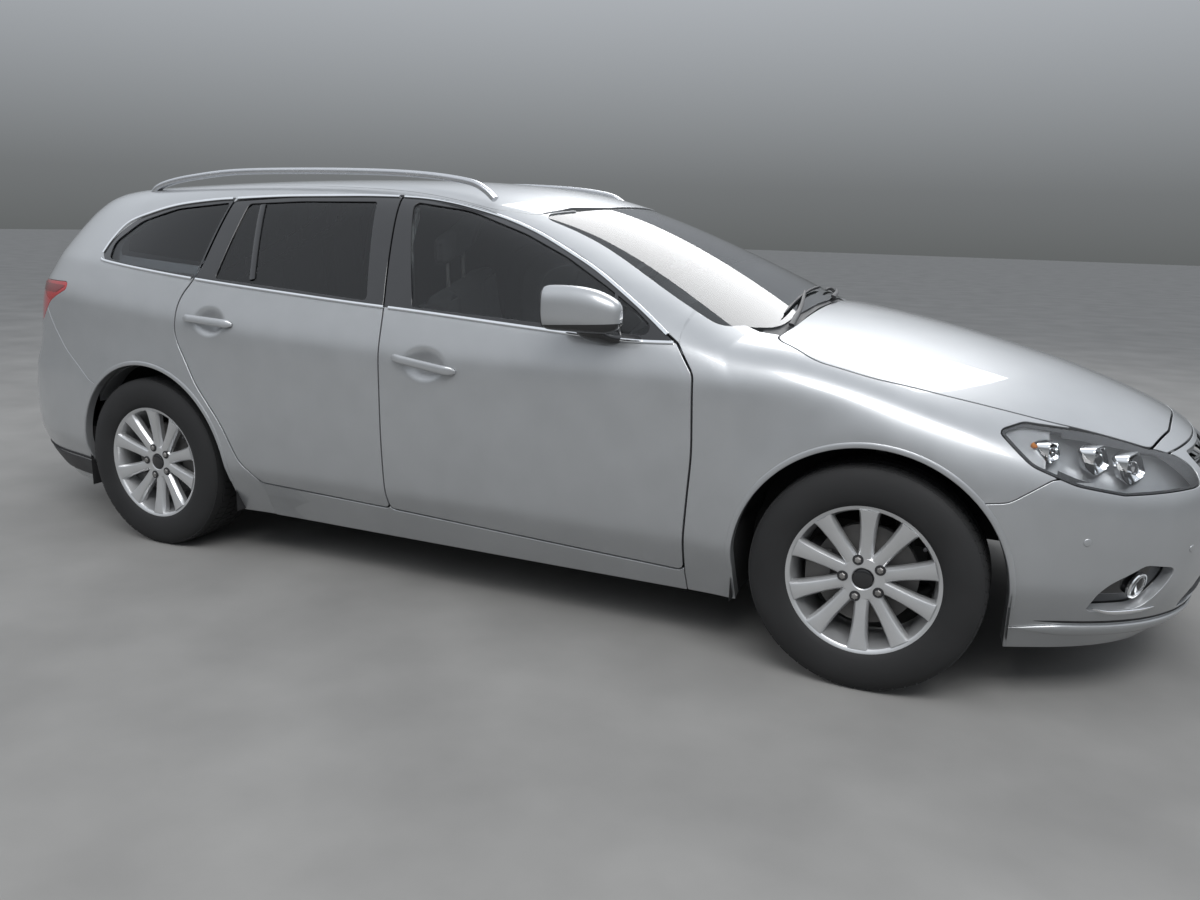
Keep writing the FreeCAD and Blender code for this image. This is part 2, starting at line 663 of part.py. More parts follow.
# Columns: y, z, corner radius, seen from the front
HEADLAMP_FRONT = ((-905, 560, 0), (-905, 860, 0), (-700, 860, 0), (-534, 736, 20), (-452, 700, 30),
                  (-505, 640, 30), (-640, 624, 200), (-700, 560, 0))
GRILLE = ((0, 728, 0), (-415, 712, 30), (-450, 660, 40), (-250, 468, 120), (0, 440, 0))
LOWER_INTAKE = ((0, 382, 0), (-430, 382, 30), (-500, 262, 30), (0, 262, 0))
FOG_RECESS = ((-742, 300, 20), (-760, 380, 60), (-690, 440, 20), (-600, 420, 20), (-640, 300, 30))
# Seen from the side. Columns: x, z, corner radius.
TAIL_LAMP_SIDE = ((-1790, 1016, 14), (-1800, 985, 14), (-1945, 930, 200), (-2060, 840, 80),
                  (-2420, 840, 0), (-2420, 1010, 0), (-2027, 1013, 200))
TAIL_LAMP_END_Y = -606.0
TAILGATE_DEPTH = 48.0
LAMP_DEPTH = 60.0


def nose_panels():
    """The wings, the front bumper with its openings, the grille and the headlamps."""
    shell = wrapped_skin(inside_lower, NOSE_AXIS_X, NOSE_ANGLES, NOSE_ROWS_Z, NOSE_LIFTS, 0, NOSE_DEPTH)
    behind = wrapped_skin(inside_lower, NOSE_AXIS_X, NOSE_ANGLES, NOSE_ROWS_Z, NOSE_LIFTS, 4, LAMP_DEPTH)
    bonnet_hole = top_prism(both_sides(BONNET), 640, 1300)
    lamp_side = side_prism(HEADLAMP_SIDE, -1000, -300)
    lamp_front = front_prism(HEADLAMP_FRONT, 1600, 2450)
    lamp_zone = lamp_side.common(lamp_front)
    shell = shell.cut(bonnet_hole).cut(arch_cut(FRONT_AXLE_X))
    wing_zone = side_prism(WING, -1000, -300)
    wing = shell.common(wing_zone).cut(lamp_zone)
    bumper_half = shell.cut(wing_zone).cut(lamp_zone).common(box((1435, 2500), (-1000, 0), (0, 1200)))
    bumper = whole(bumper_half)
    for outline in (GRILLE, LOWER_INTAKE):
        bumper = bumper.cut(front_prism(both_sides_of_first(outline), 1900, 2500))
    fog = front_prism(FOG_RECESS, 1850, 2500)
    bumper = bumper.cut(fog).cut(mirrored(fog))
    lamp = behind.common(lamp_zone).cut(bonnet_hole)
    return wing, bumper, lamp


def tail_panels():
    """The rear quarter, the tail lamp, the rear bumper, and the tailgate with its glass."""
    shell = wrapped_skin(inside_upper, TAIL_AXIS_X, TAIL_ANGLES, TAIL_ROWS_Z, TAIL_LIFTS, 0, TAIL_DEPTH)
    shell = shell.cut(arch_cut(REAR_AXLE_X))
    gate = both_sides_of_first(TAILGATE)
    gate_hole = front_prism(gate, -2500, -1850)
    lamp_zone = side_prism(TAIL_LAMP_SIDE, -1000, TAIL_LAMP_END_Y)
    quarter_zone = side_prism(QUARTER, -1000, 10)
    roof_zone = top_prism(both_sides(ROOF), 1200, 1600)
    quarter = shell.common(quarter_zone).cut(gate_hole).cut(lamp_zone).cut(roof_zone)
    quarter = quarter.cut(side_prism(QUARTER_WINDOW, -1000, -400))
    bumper_half = shell.cut(quarter_zone).cut(lamp_zone).cut(gate_hole)
    bumper_half = bumper_half.common(box((-2500, -1500), (-1000, 0), (0, 1100)))
    bumper = whole(bumper_half)
    lamp = shell.common(lamp_zone)
    skin_half = wrapped_skin(inside_upper, TAIL_AXIS_X, TAIL_ANGLES, TAIL_ROWS_Z, TAIL_LIFTS, 0, TAILGATE_DEPTH)
    gate_half = skin_half.common(front_prism(gate, -2500, -1850, -SHUT_GAP))
    window = both_sides_of_first(TAILGATE_GLASS)
    gate_panel = whole(gate_half).cut(front_prism(window, -2500, -1850))
    glass_half = wrapped_skin(inside_upper, TAIL_AXIS_X, TAIL_ANGLES, TAIL_ROWS_Z, TAIL_LIFTS,
                              GLASS_SETBACK, GLASS_DEPTH)
    glass = whole(glass_half.common(front_prism(window, -2500, -1850)))
    return quarter, lamp, bumper, gate_panel, glass


# Wheels and tyres. Columns: offset from the tyre's mid-plane, radius.
TYRE_PROFILE = ((-88, RIM_SEAT_RADIUS), (-TYRE_WIDTH / 2, 278), (-106, 318), (-86, TYRE_RADIUS),
                (86, TYRE_RADIUS), (106, 318), (TYRE_WIDTH / 2, 278), (88, RIM_SEAT_RADIUS))
RIM_PROFILE = ((-RIM_WIDTH / 2, RIM_FLANGE_RADIUS), (-95, RIM_FLANGE_RADIUS), (-89, RIM_SEAT_RADIUS - SEAT_CLEARANCE),
               (89, RIM_SEAT_RADIUS - SEAT_CLEARANCE), (95, RIM_FLANGE_RADIUS), (RIM_WIDTH / 2, RIM_FLANGE_RADIUS),
               (92, 207), (-70, 200), (-RIM_WIDTH / 2, 222))
SPOKE_PAIRS = 5
SPOKE_SPREAD = 17.0
HUB_RADIUS = 68.0
HUB_FACE = -78.0
STUD_BORE = 11.0
CENTRE_BORE = 30.0
# Columns: radius, half-width, outer offset, inner offset
SPOKE_STATIONS = ((58, 13, -76, -50), (130, 14, -84, -58), (212, 19, -96, -66))


def spoke(angle):
    """One spoke of the wheel, ruled through three sections, at an angle from straight up."""
    out = Vector(math.sin(math.radians(angle)), 0, math.cos(math.radians(angle)))
    side = Vector(out.z, 0, -out.x)
    across = Vector(0, 1, 0)
    wires = []
    for radius, half, outer, inner in SPOKE_STATIONS:
        corners = [out * radius - side * half * 0.7 + across * outer,
                   out * radius + side * half * 0.7 + across * outer,
                   out * radius + side * half + across * inner,
                   out * radius - side * half + across * inner]
        wires.append(Part.makePolygon(corners + corners[:1]))
    return Part.makeLoft(wires, True, True)


def rim():
    """A right wheel about the origin: barrel, paired spokes, hub with studs' pockets."""
    origin = Vector(0, 0, 0)
    barrel = ring(RIM_PROFILE, origin)
    hub = Part.makeCylinder(HUB_RADIUS, -HUB_SEAT_OFFSET - HUB_FACE, Vector(0, HUB_FACE, 0), Vector(0, 1, 0))
    spokes = []
    for pair in range(SPOKE_PAIRS):
        middle = pair * 360 / SPOKE_PAIRS
        spokes += [spoke(middle - SPOKE_SPREAD), spoke(middle + SPOKE_SPREAD)]
    wheel = barrel.fuse([hub] + spokes)
    for stud in range(SPOKE_PAIRS):
        angle = math.radians((stud + 0.5) * 360 / SPOKE_PAIRS)
        place = Vector(math.sin(angle), 0, math.cos(angle)) * STUD_CIRCLE_RADIUS
        wheel = wheel.cut(Part.makeCylinder(STUD_BORE, 60, place + Vector(0, -100, 0), Vector(0, 1, 0)))
    return wheel.cut(Part.makeCylinder(CENTRE_BORE, 60, Vector(0, -100, 0), Vector(0, 1, 0)))


def tyre():
    """A tyre about the origin."""
    return ring(TYRE_PROFILE, Vector(0, 0, 0))


# Steering geometry of the right knuckle
LOWER_JOINT = Vector(FRONT_AXLE_X + 5, -745, 205)
UPPER_JOINT = Vector(FRONT_AXLE_X - 10, -655, 690)
KINGPIN = (UPPER_JOINT - LOWER_JOINT).normalize()
DISC_RADIUS = 148.0
STUB_RADIUS = 34.0


def hub_centre(axle_x):
    """The centre of a right wheel."""
    return Vector(axle_x, -TRACK / 2, TYRE_RADIUS)


def brake(axle_x):
    """The hub flange, the disc and its bell, on a right wheel's axis."""
    centre = hub_centre(axle_x)
    seat = -HUB_SEAT_OFFSET + SEAT_CLEARANCE
    across = Vector(0, 1, 0)
    bell = Part.makeCylinder(72, 26, centre + Vector(0, seat, 0), across)
    disc = Part.makeCylinder(DISC_RADIUS, 24, centre + Vector(0, seat + 22, 0), across)
    return bell.fuse(disc)


def knuckle():
    """The right steering knuckle with brake, caliper, swan neck and drive stub."""
    centre = hub_centre(FRONT_AXLE_X)
    across = Vector(0, 1, 0)
    body = Part.makeCylinder(62, 52, centre + Vector(0, -6, 0), across)
    stub = Part.makeCylinder(STUB_RADIUS, 70, centre + Vector(0, 40, 0), across)
    lower = tube(centre + Vector(0, 28, -30), LOWER_JOINT + KINGPIN * 14, 18)
    foot = tube(LOWER_JOINT, LOWER_JOINT + KINGPIN * 22, 24)
    waist = Vector(FRONT_AXLE_X - 8, -652, 520)
    neck = tube(centre + Vector(0, 40, 40), waist, 17).fuse(tube(waist, UPPER_JOINT - KINGPIN * 4, 17))
    knee = Part.makeSphere(18, waist)
    head = tube(UPPER_JOINT - KINGPIN * 22, UPPER_JOINT, 24)
    caliper = box((FRONT_AXLE_X - 172, FRONT_AXLE_X - 100), (-835, -705), (275, 395))
    bracket = box((FRONT_AXLE_X - 110, FRONT_AXLE_X - 40), (-748, -722), (300, 370))
    arm = tube(centre + Vector(-30, 45, -20), centre + Vector(-130, 92, -40), 13)
    return brake(FRONT_AXLE_X).fuse([body, stub, lower, foot, neck, knee, head, caliper, bracket, arm])


BUFFER_FOOT = Vector(2130, -300, 680)
DAMPER_FOOT = Vector(FRONT_AXLE_X + 73, -548, 215)
DAMPER_TOP = Vector(FRONT_AXLE_X + 73, -548, 820)
SPRING_RADIUS = 42.0


def front_chassis(panel, floor):
    """Rails, subframe, towers, suspension arms and the buffers that the bonnet rests on."""
    rail = box((BULKHEAD_X, 2200), (-480, -410), (430, 520))
    kick = box((940, 1110), (-480, -410), (FLOOR_Z + FLOOR_WALL, 520))
    tower = box((1300, 1570), (-500, -410), (520, 820))
    tower_top = box((1350, 1565), (-610, -410), (DAMPER_TOP.z, DAMPER_TOP.z + 14))
    subframe_side = box((1180, 1640), (-470, -390), (180, 250))
    posts = [box((x, x + 60), (-460, -410), (240, 440)) for x in (1190, 1570)]
    lower_end = LOWER_JOINT - KINGPIN * 24
    lower_arms = [tube(Vector(x, -430, 200), lower_end, 15) for x in (1260, 1600)]
    lower_ball = tube(LOWER_JOINT - KINGPIN * 30, LOWER_JOINT - KINGPIN * SEAT_CLEARANCE, 22)
    upper_end = UPPER_JOINT + KINGPIN * 20
    upper_arms = [tube(Vector(x, -470, 700), upper_end, 10) for x in (1375, 1460)]
    upper_ball = tube(UPPER_JOINT + KINGPIN * SEAT_CLEARANCE, UPPER_JOINT + KINGPIN * 26, 20)
    seat = box((1316, 1552), (-574, -522), (DAMPER_FOOT.z - 30, DAMPER_FOOT.z))
    half = rail.fuse([kick, tower, tower_top, subframe_side, lower_ball, upper_ball, seat]
                     + posts + lower_arms + upper_arms)
    cross = [box((2150, 2205), (-520, 520), (430, 540)), box((1180, 1280), (-470, 470), (180, 240)),
             box((1560, 1640), (-470, 470), (180, 240)), box((2110, 2150), (-440, 440), (300, 690))]
    buffer = seated_on([panel], tube(BUFFER_FOOT, BUFFER_FOOT + Vector(0, 0, 96), 15), -1)
    whole_frame = joined([half, mirrored(half), buffer, mirrored(buffer)] + cross)
    return biggest(whole_frame.cut(floor))


def damper(top, foot):
    """A damper with its spring's outer form, on the right."""
    along = (top - foot).normalize()
    reach = (top - foot).Length
    body = tube(foot, foot + along * reach * 0.6, 24)
    rod = tube(foot, top, 12)
    spring = tube(foot + along * reach * 0.5, top, SPRING_RADIUS, SPRING_RADIUS - 12)
    seat = tube(foot + along * (reach * 0.5 - 8), foot + along * reach * 0.5, SPRING_RADIUS)
    cap = tube(top - along * 10, top, SPRING_RADIUS)
    return body.fuse([rod, spring, seat, cap])


def drive_shafts():
    """The two shafts from the gearbox towards the front hubs."""
    inner_y = ENGINE_HALF_WIDTH + SEAT_CLEARANCE
    hub = hub_centre(FRONT_AXLE_X)
    half = tube(Vector(hub.x, -inner_y, hub.z), Vector(hub.x, -655, hub.z), 14)
    joint = tube(Vector(hub.x, -inner_y, hub.z), Vector(hub.x, -inner_y - 90, hub.z), 40)
    return half.fuse(joint)


ENGINE_HALF_WIDTH = 385.0


REAR_DAMPER_FOOT = Vector(REAR_AXLE_X + 40, -616, 284)
REAR_DAMPER_TOP = Vector(REAR_AXLE_X + 40, -616, 727.5)


def rear_axle():
    """The rear crossmember with arms and fixed hubs."""
    centre = hub_centre(REAR_AXLE_X)
    across = Vector(0, 1, 0)
    upright = box((REAR_AXLE_X - 60, REAR_AXLE_X + 60), (-745, -690), (230, 450))
    carrier = Part.makeCylinder(56, 60, centre + Vector(0, -6, 0), across)
    trailing = bent_bar((Vector(REAR_AXLE_X, -700, 260), Vector(REAR_AXLE_X + 150, -648, 262),
                         Vector(REAR_AXLE_X + 480, -640, 270)), 22, 60)
    bush = box((REAR_AXLE_X + 450, REAR_AXLE_X + 510), (-680, -600), (240, 340))
    lower = tube(Vector(REAR_AXLE_X, -700, 250), Vector(REAR_AXLE_X, -300, 262), 26)
    upper = tube(Vector(REAR_AXLE_X - 35, -700, 378), Vector(REAR_AXLE_X - 35, -300, 372), 16)
    seat = box((REAR_DAMPER_FOOT.x - 50, REAR_DAMPER_FOOT.x + 30), (-650, -580), (250, REAR_DAMPER_FOOT.z))
    caliper = box((REAR_AXLE_X + 95, REAR_AXLE_X + 165), (-835, -712), (285, 385))
    bracket = box((REAR_AXLE_X + 50, REAR_AXLE_X + 100), (-745, -712), (300, 370))
    half = brake(REAR_AXLE_X).fuse([upright, carrier, trailing, bush, lower, upper, seat, caliper, bracket])
    beam = box((REAR_AXLE_X - 70, REAR_AXLE_X + 70), (-330, 330), (235, 425))
    return joined([half, mirrored(half), beam])


# Floor line seen from the side. Columns: x, z of its underside.
BULKHEAD_X = 1060.0
FLOOR_UNDER_SEAT_Z = 340.0
LOAD_FLOOR_Z = 330.0
FLOOR_LINE = ((BULKHEAD_X, 1010), (BULKHEAD_X, 480), (930, FLOOR_Z), (-560, FLOOR_Z),
              (-600, FLOOR_UNDER_SEAT_Z), (-1000, FLOOR_UNDER_SEAT_Z), (-1060, 460), (-1560, 460),
              (-1620, LOAD_FLOOR_Z), (-2230, LOAD_FLOOR_Z), (-2250, 655))
FLOOR_EDGE_Y = 745.0
JACK_PADS_X = (700.0, -480.0)
JACK_PAD_Z = 188.0
WHEELHOUSE_INNER_Y = 560.0
FRONT_WHEELHOUSE_INNER_Y = 500.0
FLOOR_PLAN = ((1100, 0, 0), (1100, -745, 0), (-1750, -745, 200), (-2262, -640, 60), (-2262, 0, 0))


def floor_pan():
    """The cabin and load floor, with the bulkhead, bent from one line."""
    line = [Vector(x, -FLOOR_EDGE_Y, z) for x, z in FLOOR_LINE]
    runs = [(after - before).normalize() for before, after in zip(line, line[1:])]
    over = []
    for index, corner in enumerate(line):
        before = runs[max(index - 1, 0)]
        after = runs[min(index, len(runs) - 1)]
        mitre = (Vector(before.z, 0, -before.x) + Vector(after.z, 0, -after.x)).normalize()
        over.append(corner + mitre * (FLOOR_WALL / (mitre * Vector(after.z, 0, -after.x))))
    wire = Part.makePolygon(line + list(reversed(over)) + line[:1])
    return Part.Face(wire).extrude(Vector(0, 2 * FLOOR_EDGE_Y, 0))


def wheelhouses():
    """Half drums over the four wheels, closed on their inner side."""
    shells = []
    reach = ARCH_RADIUS + WHEELHOUSE_GAP
    across = Vector(0, 1, 0)
    for axle_x, inner_y in ((FRONT_AXLE_X, FRONT_WHEELHOUSE_INNER_Y), (REAR_AXLE_X, WHEELHOUSE_INNER_Y)):
        start = Vector(axle_x, -WHEELHOUSE_OUTER_Y, ARCH_CENTRE_Z)
        depth = WHEELHOUSE_OUTER_Y - inner_y
        drum = Part.makeCylinder(reach + WHEELHOUSE_WALL, depth, start, across)
        drum = drum.cut(Part.makeCylinder(reach, depth - WHEELHOUSE_WALL, start, across))
        shells.append(drum.common(box((axle_x - 500, axle_x + 500), (-1000, -300), (ARCH_CENTRE_Z + 60, 1000))))
    arms = box((1330, 1540), (-530, -490), (640, 760))
    shells[0] = shells[0].cut(arms).cut(tube(DAMPER_FOOT, DAMPER_TOP, 62))
    return shells


WHEELHOUSE_OUTER_Y = 800.0
# Seats. Columns: x, z, corner radius of a front seat's side view
SEAT_CUSHION = ((-40, 290, 40), (480, 330, 50), (500, 470, 45), (20, 425, 60))
SEAT_BACK = ((-60, 330, 60), (110, 350, 50), (-80, 1010, 60), (-200, 1000, 60))
HEADREST = ((-205, 1050, 30), (-110, 1060, 40), (-130, 1200, 40), (-225, 1190, 40))
SEAT_WIDTH = 500.0
SEAT_Y = 370.0
BENCH_FOOT_Z = FLOOR_UNDER_SEAT_Z + FLOOR_WALL + SEAT_CLEARANCE
BENCH_CUSHION = ((-900, BENCH_FOOT_Z, 0), (-620, BENCH_FOOT_Z, 0), (-600, 382, 0), (-420, 382, 45),
                 (-400, 500, 45), (-860, 460, 30))
BENCH_BACK = ((-960, 400, 50), (-830, 420, 50), (-1010, 1000, 60), (-1120, 990, 50))
BENCH_HEADREST = ((-1135, 1025, 25), (-1030, 1035, 40), (-1055, 1150, 40), (-1140, 1140, 30))
BENCH_HALF_WIDTH = 540.0


def front_seats():
    """Both front seats: cushion, back, headrest on its posts, and the rails under them."""
    seats = []
    for middle in (-SEAT_Y, SEAT_Y):
        low, high = middle - SEAT_WIDTH / 2, middle + SEAT_WIDTH / 2
        pieces = [side_prism(SEAT_CUSHION, low, high), side_prism(SEAT_BACK, low + 15, high - 15),
                  side_prism(HEADREST, middle - 135, middle + 135)]
        for offset in (-70, 70):
            pieces.append(tube(Vector(-140, middle + offset, 980), Vector(-160, middle + offset, 1080), 8))
        for offset in (-190, 190):
            pieces.append(box((0, 440), (middle + offset - 22, middle + offset + 22),
                              (FLOOR_Z + FLOOR_WALL, 345)))
        seats.append(joined(pieces))
    return seats


def rear_seat():
    """The rear bench with its backrest and three headrests."""
    pieces = [side_prism(BENCH_CUSHION, -BENCH_HALF_WIDTH, BENCH_HALF_WIDTH),
              side_prism(BENCH_BACK, -BENCH_HALF_WIDTH, BENCH_HALF_WIDTH)]
    for middle in (-360, 0, 360):
        pieces.append(side_prism(BENCH_HEADREST, middle - 115, middle + 115))
        for offset in (-60, 60):
            pieces.append(tube(Vector(-1065, middle + offset, 960), Vector(-1085, middle + offset, 1060), 7))
    return joined(pieces)


# Dashboard seen from the side. Columns: x, z, corner radius.
DASH_FRONT_X = BULKHEAD_X - FLOOR_WALL - SEAT_CLEARANCE
DASHBOARD = ((DASH_FRONT_X, 560, 0), (DASH_FRONT_X, 900, 0), (960, 950, 60), (700, 965, 60), (600, 905, 50),
             (620, 800, 60), (680, 700, 100), (760, 560, 80))
CONSOLE = ((-120, FLOOR_Z + FLOOR_WALL, 0), (900, FLOOR_Z + FLOOR_WALL, 0), (950, 325, 0),
           (950, 560, 0), (700, 640, 60), (560, 520, 120), (-120, 520, 60))
DASH_HALF_WIDTH = 700.0
CONSOLE_HALF_WIDTH = 112.0
STEERING_CENTRE = Vector(455, -SEAT_Y, 905)
COLUMN_RAKE = 24.0
STEERING_RADIUS = 185.0


def column_axis():
    """The steering column's direction, from the dashboard to the driver."""
    rake = math.radians(COLUMN_RAKE)
    return Vector(-math.cos(rake), 0, math.sin(rake))


def dashboard():
    """The dashboard with the centre console and the steering column's housing."""
    dash = side_prism(DASHBOARD, -DASH_HALF_WIDTH, DASH_HALF_WIDTH)
    console = side_prism(CONSOLE, -CONSOLE_HALF_WIDTH, CONSOLE_HALF_WIDTH)
    axis = column_axis()
    column = tube(STEERING_CENTRE - axis * 330, STEERING_CENTRE - axis * 62, 42)
    return joined([dash, console, column])


def steering_wheel():
    """The rim, three spokes, the padded hub and its shaft."""
    axis = column_axis()
    wheel = Part.makeTorus(STEERING_RADIUS, 14, STEERING_CENTRE, axis)
    hub = tube(STEERING_CENTRE - axis * 48, STEERING_CENTRE - axis * 4, 70)
    shaft = tube(STEERING_CENTRE - axis * (62 - SEAT_CLEARANCE), STEERING_CENTRE - axis * 48, 20)
    up = Vector(math.sin(math.radians(COLUMN_RAKE)), 0, math.cos(math.radians(COLUMN_RAKE)))
    pieces = [hub, shaft]
    for direction in (Vector(0, 1, 0), Vector(0, -1, 0), up * -1):
        pieces.append(tube(STEERING_CENTRE - axis * 22, STEERING_CENTRE + direction * STEERING_RADIUS, 13))
    return joined([wheel] + pieces)


COWL_STATIONS_X = SCREEN_STATIONS_X[-2:]
COWL_DEPTH = 66.0
COWL = ((1042, 0, 0), (1042, -700, 20), (1098, -700, 20), (1108, -560, 200), (1116, 0, 0))
UNDER_GLASS = GLASS_SETBACK + GLASS_DEPTH + SEAT_CLEARANCE


def cowl():
    """The scuttle under the windscreen's foot, following the glass from side to side."""
    strip = overhead_skin(COWL_STATIONS_X, SCREEN_ROWS_Y, UNDER_GLASS, COWL_DEPTH)
    return strip.common(top_prism(both_sides(COWL), 700, 1200))


def above_bulkhead():
    """The space over the scuttle's underside, which the bulkhead doesn't enter."""
    return overhead_skin(COWL_STATIONS_X, SCREEN_ROWS_Y, -200, 200 + UNDER_GLASS + COWL_DEPTH)


def engine_block():
    """Engine and gearbox as one plain block, with feet on the rails."""
    block = box((1180, 1640), (-ENGINE_HALF_WIDTH, ENGINE_HALF_WIDTH), (305, 800))
    feet = [box((1360, 1480), (side * 397 - 13, side * 397 + 13), (430, 500)) for side in (-1, 1)]
    return joined([block] + feet)


SILENCER_Z = 245.0
SILENCER_RADIUS = LOAD_FLOOR_Z - SILENCER_Z - SEAT_CLEARANCE


def exhaust():
    """The pipe from the engine to the rear silencer and its tail."""
    route = (Vector(1180, 0, 330), Vector(1080, 0, 190), Vector(900, 0, 170), Vector(-500, 0, 170),
             Vector(-900, 250, 175), Vector(-1300, 400, 190), Vector(-1770, 400, 245))
    pipe = bent_bar(route, 27, 60)
    silencer = Part.makeCylinder(SILENCER_RADIUS, 420, Vector(-1850, 170, SILENCER_Z), Vector(0, 1, 0))
    tail = tube(Vector(-1900, 500, 235), Vector(-2150, 500, 225), 32, 28)
    return joined([pipe, silencer, tail])


def fuel_tank():
    """The tank under the rear seat."""
    outline = ((-1000, 210, 40), (-610, 210, 40), (-610, FLOOR_UNDER_SEAT_Z, 20), (-1000, FLOOR_UNDER_SEAT_Z, 20))
    return side_prism(outline, -480, 20)


def mirror():
    """A right door mirror: foot, arm and shell."""
    shell = side_prism(((470, 985, 30), (690, 1000, 40), (700, 1075, 35), (600, 1122, 50), (455, 1112, 40)),
                       -1010, -925)
    arm = box((560, 650), (-950, -880), (965, 1000))
    foot = box((570, 700), (-895, -858), (955, 990))
    return joined([shell, arm, foot])


# Columns: x, z, corner radius. The feet reach into the roof and are trimmed to it.
ROOF_RAIL = ((62, 1366, 0), (54, 1402, 10), (-60, 1448, 120), (-420, 1478, 1500), (-1100, 1474, 1500),
             (-1450, 1438, 200), (-1537, 1396, 10), (-1545, 1366, 0), (-1484, 1366, 0), (-1476, 1396, 20),
             (-1400, 1428, 200), (-1080, 1455, 1500), (-430, 1458, 1500), (-80, 1432, 150),
             (-4, 1402, 20), (4, 1366, 0))


def roof_rail():
    """A right roof rail: a bar with a foot at each end."""
    return side_prism(ROOF_RAIL, -606, -574)


def roof_panel():
    """The roof between the side frames, the windscreen and the tailgate."""
    panel = overhead_skin(ROOF_STATIONS_X, ROOF_ROWS_Y, 0, ROOF_DEPTH)
    panel = panel.common(top_prism(both_sides(ROOF), 1000, 1600, -SEAT_CLEARANCE))
    return biggest(panel.cut(front_prism(both_sides_of_first(TAILGATE), -2500, -1850)))


def bonnet():
    """The bonnet, clear of the wings, the scuttle and the bumper all round."""
    outline = top_prism(both_sides(BONNET), 640, 1200, -SHUT_GAP)
    return bonnet_skin(BONNET_DEPTH).common(outline)


def windscreen():
    """The windscreen, set into the pillars and the roof."""
    glass = overhead_skin(SCREEN_STATIONS_X, SCREEN_ROWS_Y, GLASS_SETBACK, GLASS_DEPTH)
    return glass.common(top_prism(both_sides(SCREEN), 900, 1600))


def cabin_floor(borders):
    """The floor pan and bulkhead with jacking pads, fitted between the wheelhouses and its borders."""
    floor = floor_pan()
    reach = ARCH_RADIUS + WHEELHOUSE_GAP + WHEELHOUSE_WALL
    for axle_x, inner_y in ((FRONT_AXLE_X, FRONT_WHEELHOUSE_INNER_Y), (REAR_AXLE_X, WHEELHOUSE_INNER_Y)):
        hollow = box((axle_x - reach, axle_x + reach), (-1000, -inner_y), (0, ARCH_CENTRE_Z + 60))
        drum = Part.makeCylinder(reach, 1000 - inner_y, Vector(axle_x, -1000, ARCH_CENTRE_Z), Vector(0, 1, 0))
        hollow = hollow.fuse(drum)
        floor = floor.cut(hollow).cut(mirrored(hollow))
    floor = floor.cut(above_bulkhead()).common(top_prism(both_sides(FLOOR_PLAN), 0, 1200))
    for border in borders:
        floor = floor.cut(border)
    pads = []
    for x in JACK_PADS_X:
        pad = box((x - 40, x + 40), (-692, -652), (JACK_PAD_Z, FLOOR_Z + 4))
        pads += [pad, mirrored(pad)]
    return joined([biggest(floor)] + pads)


def one_side():
    """The right side's pieces: those that the left has as nodes of its own, and those in shared nodes."""
    wing, bumper_front, headlamp = nose_panels()
    quarter, tail_lamp, bumper_rear, tailgate, tailgate_glass = tail_panels()
    wing, quarter = biggest(wing), biggest(quarter)
    frame = side_frame(quarter, wing, bumper_rear)
    roof = roof_panel()
    front_door = door(FRONT_DOOR, FRONT_DOOR_STATIONS_X, FRONT_WINDOW, FRONT_HINGE)
    front_hub, rear_hub = hub_centre(FRONT_AXLE_X), hub_centre(REAR_AXLE_X)
    own = {
        "door_front": front_door,
        "door_rear": door(REAR_DOOR, REAR_DOOR_STATIONS_X, REAR_WINDOW, REAR_HINGE),
        "glass_front": side_glass(FRONT_WINDOW, FRONT_DOOR_STATIONS_X),
        "glass_rear": side_glass(REAR_WINDOW, REAR_DOOR_STATIONS_X),
        "mirror": biggest(mirror().cut(front_door)),
        "wheel_front": rim().translated(front_hub),
        "tyre_front": tyre().translated(front_hub),
        "wheel_rear": rim().translated(rear_hub),
        "tyre_rear": tyre().translated(rear_hub),
        "knuckle": knuckle(),
    }
    shared = {
        "side_frames": [frame],
        "wings": [wing],
        "quarters": [quarter],
        "quarter_glasses": [side_glass(QUARTER_WINDOW, QUARTER_STATIONS_X)],
        "headlamps": [headlamp],
        "tail_lamps": [tail_lamp],
        "roof_rails": [seated_on([roof, frame, quarter], roof_rail())],
        "dampers": [damper(DAMPER_TOP, DAMPER_FOOT), damper(REAR_DAMPER_TOP, REAR_DAMPER_FOOT)],
        "drive_shafts": [drive_shafts()],
        "wheelhouses": [biggest(house.cut(frame).cut(quarter)) for house in wheelhouses()],
    }
    middle = {
        "bumper_front": [bumper_front],
        "bumper_rear": [bumper_rear],
        "tailgate": [tailgate],
        "tailgate_glass": [tailgate_glass],
        "roof": [roof],
    }
    return own, shared, middle


def main():
    """Makes every sub-part and writes it."""
    os.makedirs("parts", exist_ok=True)
    own, shared, nodes = one_side()
    for name, shape in own.items():
        nodes[name + "_right"] = [shape]
        nodes[name + "_left"] = [mirrored(shape)]
    for name, shapes in shared.items():
        nodes[name] = shapes + [mirrored(shape) for shape in shapes]
    panel = bonnet()
    nodes["bonnet"] = [panel]
    nodes["windscreen"] = [windscreen()]
    floor = cabin_floor(nodes["side_frames"] + nodes["bumper_rear"])
    nodes["floor_pan"] = [floor]
    nodes["cowl"] = [cowl()]
    nodes["grilles"] = grille()
    nodes["front_chassis"] = [front_chassis(panel, floor)]
    nodes["rear_axle"] = [rear_axle()]
    engine = engine_block()
    nodes["engine_block"] = [engine]
    nodes["exhaust"] = [biggest(exhaust().cut(engine))]
    nodes["fuel_tank"] = [fuel_tank()]
    nodes["seats"] = front_seats() + [rear_seat()]
    nodes["dashboard"] = [dashboard()]
    nodes["steering_wheel"] = [steering_wheel()]
    for name, shapes in nodes.items():
        export(name, shapes)


if __name__ == "__main__":
    main()
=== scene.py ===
"""Looks of the station wagon: smooth panels, glass, lamps, trim, wheels and cabin.

The form's tables are in millimetres, like the construction drawing's. Meshes are in metres.
"""
import json
import logging
import math
from dataclasses import dataclass
from enum import Enum
from typing import Callable, Iterable, Sequence

